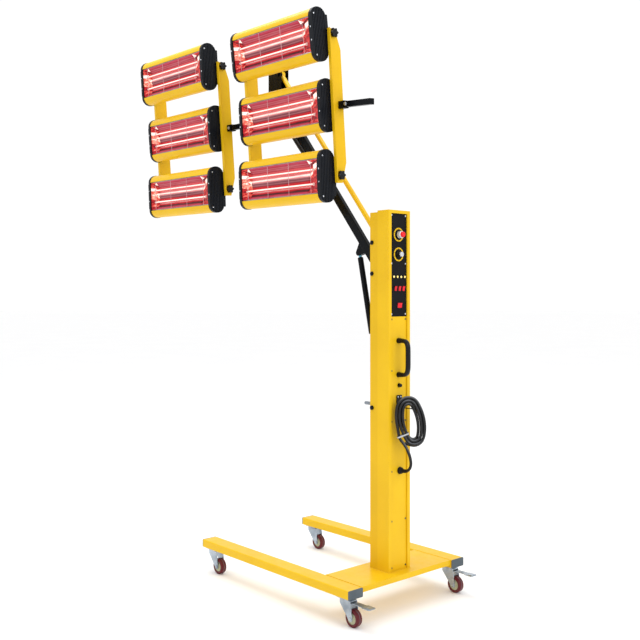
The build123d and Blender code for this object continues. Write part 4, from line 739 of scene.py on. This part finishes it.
class CURINGLAMP_OT_windows(bpy.types.Operator):
    """Faceted reflectors, quartz tubes with their ceramic ends, and the guard wires of all the cassettes"""

    bl_idname = "curing_lamp.windows"
    bl_label = "Lamp windows"

    mouth: number("Mouth", "The reflector's mouth from the cassette's middle, millimetres", 32.6)
    near_slope: number("First slope", "Length of the sloping first ends, millimetres", 60)
    far_slope: number("Last slope", "Length of the sloping last ends, millimetres", 44)
    belt_share: number("Belt", "Where the ends' two rings of facets meet, from the trough out", 0.36)

    def execute(self, context):
        sizes = context.scene.lamp_sizes
        trough, slopes = mirror_trough("red_mirror"), trough_end("red_facets")
        quartz = ruby_quartz("ruby_quartz")
        ceramic = moulded("ceramic_ends", (0.62, 0.40, 0.36), roughness=0.5)
        rim_steel = plated("window_rim", (0.42, 0.36, 0.38), (0.26, 0.20, 0.22), roughness=0.35)
        wire = plated("guard_wire", (0.80, 0.52, 0.54), (0.62, 0.30, 0.33), roughness=0.25, metallic=0.6)
        length = WINDOW_LENGTH - 2 * PLAY
        for name, body, axes in cassettes():
            start = axes.moved(0, 0, CAP_THICK + PLAY)
            spots = np.linspace(self.near_slope, length - self.far_slope, 24)
            inner = spread(TROUGH[:, 0] + self.mouth, TROUGH[:, 1], spots[:, None])
            sheet = grid(start.points(inner), flip=True)
            ends = []
            for end, base in ((0, inner[0]), (length, inner[-1])):
                rim = spread(self.mouth, RIM_UPS, end)
                belt = base + self.belt_share * (rim - base)
                for outer, nearer in ((belt, base), (rim, belt)):
                    ends.append(facets(start.points(outer), start.points(nearer), flip=end > 0))
            nodes = ["emitter_" + name] if body != "bank" else ["emitters_middle"]
            made = piece("reflector_" + name, [sheet], trough, body, stands_for=nodes,
                         shares=window_share(sheet[0], start, length))
            thicken(made, SHEET)
            rims = [self.rim_strip(start, length, side) for side in (1, -1)]
            thicken(piece("window_rims_" + name, rims, rim_steel, body), 0.3)
            thicken(piece("reflector_ends_" + name, ends, slopes, body, smooth=False,
                          tones=np.array(NEAR_TONES + FAR_TONES) / 100), SHEET)
            tubes, shares, collars = [], [], []
            for up in TUBE_UPS:
                tube, share = self.tube(start.moved(self.mouth - TUBE_DEPTH, up, TUBE_START), length - TUBE_SHORTER,
                                        sizes.quartz_diameter / MM / 2)
                tubes.append(tube)
                shares.append(share)
                for end in (COLLAR_START, length - COLLAR_START):
                    collar = [(0.01, 0), (6, 0.2), (6.6, 1), (6.6, 11), (6, 11.8), (0.01, 12)]
                    collars.append(turned(start.moved(self.mouth - TUBE_DEPTH, up, end), collar, steps=20))
            piece("quartz_tubes_" + name, tubes, quartz, body, shares=np.vstack(shares))
            piece("tube_ends_" + name, collars, ceramic, body)
            wires = []
            for share in np.linspace(0.085, 0.915, sizes.wires) if sizes.wires > 1 else ():
                path = start.points(spread(self.mouth + 0.6, np.linspace(63.5, -63.5, 9), share * length))
                wires.append(carried(path, sizes.wire_diameter / MM / 2, steps=10))
            if wires:
                piece("guard_wires_" + name, wires, wire, body)
        return {"FINISHED"}

    def tube(self, axes, length, radius):
        """A turned quartz tube with rounded ends, and each point's share along it and round it."""
        outline = [(0.01, 0), (radius * 0.7, 0.4), (radius, 2)]
        outline += [(radius, spot) for spot in np.linspace(3, length - 3, 20)]
        outline += [(radius, length - 2), (radius * 0.7, length - 0.4), (0.01, length)]
        tube = turned(axes, outline, steps=24)
        out, up, along = ((tube[0] - axes.origin) @ axes.ways.T).T
        return tube, spread(along / length, np.arctan2(out, up) / (2 * pi) % 1, 0)

    def rim_strip(self, start, length, side):
        """A flat strip behind the window's long edge, from the reflector's lip to the casing."""
        points = spread(self.mouth, np.array([61, 65.5]) * side, np.linspace(0, length, 12)[:, None])
        return grid(start.points(points), flip=side > 0)


class CURINGLAMP_OT_cap_screws(bpy.types.Operator):
    """Screws and rivets on the cassettes' end caps"""

    bl_idname = "curing_lamp.cap_screws"
    bl_label = "Cap screws"

    def execute(self, context):
        steel = plated("bright_screws", (0.74, 0.76, 0.80), (0.50, 0.53, 0.58), roughness=0.22)
        head = [(2.9, -0.6), (2.9, 0.8), (2.5, 1.4), (1.3, 1.7), (1.1, 0.8), (0.01, 0.7)]
        rivet = [(2.9, -0.4), (2.8, 0.8), (2, 1.5), (0.01, 1.8)]
        for name, body, axes in cassettes():
            heads = []
            for end, outward in ((0, -1), (HEAD_LENGTH, 1)):
                for up in (73, -75):
                    spot = axes.points([21, up, end + outward * 0.1])
                    heads.append(turned(facing(spot, axes.ways[2] * outward), head, steps=20))
                for up in (25, -22):
                    spot = axes.points([HEAD_DEPTH / 2 + 2.4, up, end - outward * 4])
                    heads.append(turned(facing(spot, axes.ways[0]), rivet, steps=16))
            piece("cap_screws_" + name, heads, steel, body)
        return {"FINISHED"}


def on_cover(left, up, out=0):
    """Axes on the column's back, whose z points away from it."""
    return facing(at(COVER_FACE - out, left, up), (-1, 0, 0))


class CURINGLAMP_OT_fittings(bpy.types.Operator):
    """Star knobs, dial knobs, lamp lenses, screws, socket bolts, the gas spring's ring and the weld beads"""

    bl_idname = "curing_lamp.fittings"
    bl_label = "Small fittings"

    def execute(self, context):
        steel = plated("bolt_steel", (0.66, 0.69, 0.74), (0.42, 0.46, 0.52), roughness=0.25)
        gloss = gloss_black("knob_plastic", roughness=0.2, sheen=0.2)
        dull = plated("dull_screws", (0.10, 0.09, 0.08), (0.05, 0.045, 0.04), roughness=0.4, metallic=0.6)
        self.star_knobs(gloss)
        self.dial_knobs(gloss)
        self.lenses()
        spots = [(side, up) for side in (SCREWS_LEFT, -SCREWS_LEFT) for up in (1445, 1267, 1080)]
        heads = [self.screw(*spot) for spot in spots + [(-9, 773, 3), (5, 773, 3)]]
        piece("panel_screws", heads, steel, "base", stands_for=["column_fasteners"])
        spots = [(SCREWS_LEFT, up) for up in (1061, 871, 684, 500, 317, 145)]
        spots += [(-SCREWS_LEFT, up) for up in (1061, 684, 317, 145)]
        piece("cover_screws", [self.screw(*spot) for spot in spots], dull, "base")
        self.socket_bolts(steel)
        self.grip(gloss)
        nut = [(12.9, 0), (13.3, 0.4), (13.3, 3.2), (12.9, 3.6), (12, 4), (12, 8.6), (11.2, 10.8), (9.6, 12.4),
               (8, 13.1), (5, 13.2)]
        nut = turned(on_cover(GLAND_SHIFT, GLAND_HEIGHT), nut, 84, 14, 0.02)
        piece("gland_nut", [nut], gloss, "base")
        lug, foot = on_arm(*SPRING_LUG), at(*SPRING_FOOT)
        spring_way = (foot - lug) / np.linalg.norm(foot - lug)
        ring = [(4.6, 0), (6.4, 0.4), (6.6, 2.6), (5.9, 3), (5.9, 4.4), (6.6, 4.8), (6.6, 8.4), (5, 9.2),
                (4.6, 9.4)]
        ring = turned(facing(lug + spring_way * 10, spring_way), ring, steps=24)
        blue = moulded("ring_blue", (0.10, 0.33, 0.45), roughness=0.35)
        piece("spring_ring", [ring], blue, "gas_cylinder")
        self.welds(context)
        return {"FINISHED"}

    def screw(self, left, up, out=0):
        """A pan-headed screw with a sunk middle on the column's back."""
        head = [(3.5, 0), (3.5, 0.5), (3.1, 1.2), (2.3, 1.7), (1.7, 1.85), (1.5, 1.1), (0.01, 1)]
        return turned(on_cover(left, up, out), head, steps=24)

    def socket_bolts(self, steel):
        """Bolts through the crossbar beside the racks' plates, round on one side and six-sided on the other."""
        head = [(6.6, 0), (6.6, 0.9), (6.2, 1.1), (4.9, 1.1), (4.9, 4.1), (4.3, 4.7), (0.01, 4.8)]
        bolts = []
        for start, before in zip(RACK_STARTS, (38, 13)):
            for forward in (start - before, start + RACK_WIDTH + 13):
                axes = rack_axes(forward)
                for side in (1, -1):
                    seat = facing(axes.points([side * 14.1, 0, 0]), axes.ways[0] * side)
                    bolts.append(turned(seat, head, steps=6 if side < 0 else 24))
        piece("socket_bolts", bolts, steel, "bank")

    def grip(self, gloss):
        """The carrying handle: a squared bow, whose reach and height are cosine and sine raised to two fifths."""
        turn = np.linspace(-pi / 2, pi / 2, 81)
        out = 46 * np.maximum(np.cos(turn), 0) ** 0.4
        rise = 63 * np.sign(np.sin(turn)) * np.abs(np.sin(turn)) ** 0.4
        path = spread(COVER_FACE - 0.3 - out, HANDLE[0], HANDLE[1] + rise) + at(0, 0, 0)
        near_foot = (1 - out / out.max()) ** 2
        bow = carried(path, 7.3 + 2.9 * near_foot, steps=28, wide=1.36, power=0.75)
        piece("handle_bow", [bow], gloss, "base", stands_for=["carry_handle"])

    def star_knobs(self, gloss):
        """Rounded six-lobed knobs in place of the plain ones, each with a domed end."""
        outline = [(5, 0), (9.5, 0), (10.6, 1), (11.4, 2.6), (15.2, 3.6), (15.8, 5), (15.8, 11.6),
                   (15, 13.4), (13, 14.5), (9.4, 15), (4.6, 15)]
        dome = [(4.6, 14.4), (4.4, 15.2), (2.6, 15.7), (0.01, 15.8)]
        for rack, kind in ((rack, kind) for rack in ("back", "front") for kind in STUD_UPS):
            name = rack + "_" + kind
            end = rack_axes(RACK_STARTS[rack == "front"] - 0.4, STUD_OUT, STUD_UPS[kind])
            seat = Axes(end.origin, end.ways[0], -end.ways[1], -end.ways[2])
            piece("star_knob_" + name, [turned(seat, outline, 72, 6, 0.16), turned(seat, dome, steps=24)],
                  gloss, "knob_" + name, stands_for=["clamp_knob_" + name])

    def dial_knobs(self, gloss):
        """The push knob's polished barrel and red cap, and the timer's fluted knob with its silver face."""
        chrome = plated("knob_chrome", (0.72, 0.73, 0.75), (0.56, 0.58, 0.61), roughness=0.22, metallic=0.4)
        red = moulded("cap_red", (0.66, 0.010, 0.016), roughness=0.2, grain=0.04)
        seat = on_cover(0, PUSH_HEIGHT, 4.3)
        barrel = [(3, 0), (12.7, 0), (13.3, 0.6), (13.3, 13), (12.6, 14.2), (11.6, 14.6), (11.2, 15),
                  (3, 15)]
        barrel = turned(seat, barrel, steps=48)
        cap = [(9.8, 14.2), (10.5, 14.8), (10.5, 20.4), (9.8, 21.8), (8.2, 22.6), (5.4, 22.8), (4.6, 22.3),
               (0.01, 22.1)]
        cap = turned(seat, cap, steps=48)
        piece("push_barrel", [barrel], chrome, "push_knob", stands_for=["push_knob"])
        piece("push_cap", [cap], red, "push_knob")
        seat = on_cover(0, TIMER_HEIGHT, 1.3)
        body = [(3, 0), (13.2, 0), (13.6, 0.6), (13.6, 3), (12.2, 3.6), (11.9, 11.2), (11.3, 12), (3, 12)]
        body = turned(seat, body, 96, 12, 0.025)
        face = turned(seat, [(8.7, 11.4), (9.3, 12.2), (9.3, 16.4), (8.7, 17.6), (7.8, 18), (0.01, 17.9)], steps=48)
        pointer = grid(seat.points(spread(np.array([[9.5], [11.6]]), np.array([-0.5, 0.5]), 12.3)))
        piece("timer_body", [body], gloss, "timer_knob", stands_for=["timer_knob"])
        piece("timer_face", [face], chrome, "timer_knob")
        thicken(piece("timer_pointer", [pointer], moulded("mark_white", (0.75, 0.75, 0.74)), "timer_knob"), 0.4)

    def lenses(self):
        """Domed amber lenses on the four indicator lamps, each in a thin dark ring."""
        amber = Finish("lens_amber")
        cloud = amber.noise(260, detail=2)
        tint = amber.cloudy(cloud, (0.95, 0.66, 0.10), (0.98, 0.84, 0.34))
        amber.set(Base_Color=tint, Roughness=amber.span(cloud, 0.1, 0.2), Emission_Color=tint, Emission_Strength=0.25,
                  Normal=amber.bump(cloud, 0.05, 0.0002))
        lenses, rings = [], []
        for left in LAMPS_LEFT:
            seat = on_cover(left, LAMPS_HEIGHT)
            lenses.append(turned(seat, [(4.3, 2.4), (4.2, 3.4), (3.5, 4.2), (2.2, 4.8), (0.01, 5)], steps=24))
            rings.append(turned(seat, [(5.6, 0), (5.5, 1.3), (4.9, 1.6), (4.4, 1.2), (4.4, 0.2)], steps=24))
        piece("lamp_lenses", lenses, amber.material, "base")
        piece("lamp_rings", rings, gloss_black("ring_black"), "base")

    def welds(self, context):
        """Rippled beads round the column's foot and along the deck's ends: the radius swells with every ripple."""
        colours = context.scene.lamp_colours
        coat = powder_coat("weld_coat", tuple(colours.body_shade), tuple(colours.body_shade), peel=0.2)
        lines = [((51, 57.4), (149, 57.4)), ((51, -57.4), (149, -57.4)), ((51, 57.4), (51, -57.4)),
                 ((9, 239), (193, 239)), ((9, -239), (193, -239))]
        beads = []
        for (x0, y0), (x1, y1) in lines:
            count = int(hypot(x1 - x0, y1 - y0) / 1.2)
            steps = np.linspace(0, 1, count)[:, None]
            path = at(x0, y0, DECK_HEIGHT) * (1 - steps) + at(x1, y1, DECK_HEIGHT) * steps
            beads.append(carried(path, 1.5 + 0.35 * np.sin(np.arange(count) * 1.9), steps=10))
        piece("weld_beads", beads, coat, "base")


# Finishes of the frame's own nodes, light and camera


CAMERA_SPOT, CAMERA_TURN = (-2235.6, 2429.7, 1158), atan2(-0.747, -0.665)
FLOOR_HALF = 60
PLACES = ("back_left", "back_right", "front_left", "front_right")
HEADS = ("back_lower", "back_upper", "front_lower", "front_upper")


def dress(finish, *nodes):
    """Give each of these nodes of the frame one finish."""
    for name in nodes:
        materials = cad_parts[name].data.materials
        materials.clear()
        materials.append(finish)


class CURINGLAMP_OT_finishes(bpy.types.Operator):
    """Paint, plating, plastic and rubber on every node that the frame itself shows"""

    bl_idname = "curing_lamp.finishes"
    bl_label = "Finishes"

    def execute(self, context):
        colours = context.scene.lamp_colours
        body, shade = tuple(colours.body), tuple(colours.body_shade)
        coat = powder_coat("yellow_coat", body, shade)
        dress(coat, "leg_frame", "cabinet_shell", "back_cover", "side_plates", "housings_middle",
              *("housing_" + name for name in HEADS))
        dress(powder_coat("rod_coat", body, shade, roughness=0.22, sheen=0.4), "tie_rod")
        # Painted shade: the mast wears the body's yellow darkened, as a shaded copy of the same coat.
        dress(powder_coat("mast_coat_painted_shade", shade, toned(shade, 0.94)), "mast_channel")
        black = gloss_black("black_paint", tuple(colours.arm), sheen=0.09)
        dress(black, "arm", "end_bracket", "crossbar", "gas_cylinder")
        dress(black_and_plated("pin_finish", tuple(colours.arm), at(150, 0, 0)[0]), "pivot_pins")
        zinc = plated("zinc_plate", (0.44, 0.49, 0.54), (0.25, 0.29, 0.34), roughness=0.30)
        dress(zinc, "castor_plates", *("castor_fork_" + place for place in PLACES),
              "brake_pedal_back_left", "brake_pedal_back_right")
        for name, _, axes in cassettes():
            node = "end_caps_" + (name if name in HEADS else "middle")
            dress(ribbed_cap("cap_plastic_" + name, tuple(colours.cap), axes), node)
        dress(moulded("plug_plastic", (0.080, 0.100, 0.115), roughness=0.5), "leg_plugs", "inner_modules")
        dress(textured_charcoal("panel_charcoal"), "control_panel")
        gloss = gloss_black("gloss_plastic", roughness=0.18, sheen=0.2)
        dress(gloss, "carry_handle", "cord_hook", "cover_fittings")
        dress(plated("polished_rod", (0.82, 0.82, 0.83), (0.7, 0.7, 0.72), roughness=0.12), "gas_rod")
        dress(moulded("sleeve_rubber", (0.006, 0.006, 0.007), roughness=0.3), "cable_sleeve")
        dress(moulded("tie_plastic", (0.36, 0.37, 0.39), roughness=0.3, sheen=0.5), "cord_tie")
        switch = moulded("switch_red", (0.60, 0.012, 0.020), roughness=0.22, grain=0.05)
        dress(switch, "bank_switch_1", "bank_switch_2", "bank_switch_3", "main_switch")
        dress(dial_print("scale_print", (COLUMN_MIDDLE, TIMER_HEIGHT, PUSH_HEIGHT), (body, body)), "panel_fittings")
        for place in PLACES:
            low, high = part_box("castor_wheel_" + place)
            centre = [(a + b) / 2 / MM for a, b in zip(low, high)]
            dress(tread_and_hub("castor_tread_" + place, centre), "castor_wheel_" + place)
        return {"FINISHED"}


class CURINGLAMP_OT_stage(bpy.types.Operator):
    """Pale floor, soft studio light, room light and the camera at the photograph's view"""

    bl_idname = "curing_lamp.stage"
    bl_label = "Stage"

    def execute(self, context):
        settings = context.scene.stage_settings
        scene = context.scene
        lens = bpy.data.cameras.new("photo_view")
        lens.lens, lens.sensor_width = settings.lens, 36
        lens.shift_y = settings.frame_shift
        lens.clip_end = 60
        camera = bpy.data.objects.new("photo_view", lens)
        camera.location = at(*CAMERA_SPOT) * MM
        camera.rotation_euler = (radians(90), 0, CAMERA_TURN)
        scene.collection.objects.link(camera)
        scene.camera = camera
        mesh = bpy.data.meshes.new("floor")
        corners = [(x * FLOOR_HALF, y * FLOOR_HALF, 0) for x, y in ((-1, -1), (1, -1), (1, 1), (-1, 1))]
        mesh.from_pydata(corners, [], [(0, 1, 2, 3)])
        floor = bpy.data.objects.new("floor", mesh)
        scene.collection.objects.link(floor)
        paper = Finish("floor_paper")
        tint = paper.cloudy(paper.noise(1.2), (0.95, 0.95, 0.95), (0.935, 0.935, 0.94))
        floor.data.materials.append(paper.set(Base_Color=tint, Roughness=0.8))
        world = bpy.data.worlds.new("studio")
        world.use_nodes = True
        background = world.node_tree.nodes["Background"]
        background.inputs["Color"].default_value = (1, 1, 1, 1)
        background.inputs["Strength"].default_value = settings.room
        scene.world = world
        self.light(scene, "key", (-4.5, -0.6, 3.2), (0, 0, 1.1), 2.6, settings.key)
        self.light(scene, "fill", (-1.2, 4.6, 2.2), (0.2, 0, 1.3), 2.4, settings.fill)
        self.light(scene, "top", (0.6, 0.4, 4.6), (0, 0, 1), 3, settings.top)
        scene.view_settings.view_transform = "Standard"
        return {"FINISHED"}

    def light(self, scene, name, place, aim, size, power):
        """A square soft light at a place, turned to face its aim."""
        lamp = bpy.data.lights.new(name, "AREA")
        lamp.energy, lamp.size = power, size
        made = bpy.data.objects.new(name, lamp)
        made.location = place
        made.rotation_euler = (Vector(aim) - Vector(place)).to_track_quat("-Z", "Y").to_euler()
        scene.collection.objects.link(made)


STEPS = (CURINGLAMP_OT_stage, CURINGLAMP_OT_cord, CURINGLAMP_OT_windows, CURINGLAMP_OT_cap_screws,
         CURINGLAMP_OT_fittings, CURINGLAMP_OT_finishes)


class CURINGLAMP_PT_panel(bpy.types.Panel):
    """The lamp's settings and steps"""

    bl_idname = "CURINGLAMP_PT_panel"
    bl_label = "Curing lamp"
    bl_space_type = "VIEW_3D"
    bl_region_type = "UI"
    bl_category = "Curing lamp"

    def draw(self, context):
        for name in ("lamp_colours", "lamp_sizes", "stage_settings"):
            settings = getattr(context.scene, name)
            for key in settings.__annotations__:
                self.layout.prop(settings, key)
        for step in STEPS:
            self.layout.operator(step.bl_idname)


SETTINGS = {"lamp_colours": LampColours, "lamp_sizes": LampSizes, "stage_settings": StageSettings}


def register():
    """Register the settings, the steps and the panel."""
    for name, group in SETTINGS.items():
        bpy.utils.register_class(group)
        setattr(bpy.types.Scene, name, PointerProperty(type=group))
    for step in STEPS + (CURINGLAMP_PT_panel,):
        bpy.utils.register_class(step)


def unregister():
    """Undo what register did."""
    for step in (CURINGLAMP_PT_panel,) + STEPS[::-1]:
        bpy.utils.unregister_class(step)
    for name, group in SETTINGS.items():
        delattr(bpy.types.Scene, name)
        bpy.utils.unregister_class(group)


def main():
    """Dress the frame step by step."""
    register()
    bpy.ops.curing_lamp.stage()
    bpy.ops.curing_lamp.cord()
    bpy.ops.curing_lamp.windows()
    bpy.ops.curing_lamp.cap_screws()
    bpy.ops.curing_lamp.fittings()
    bpy.ops.curing_lamp.finishes()
    bpy.context.view_layer.update()


if __name__ == "__main__":
    main()
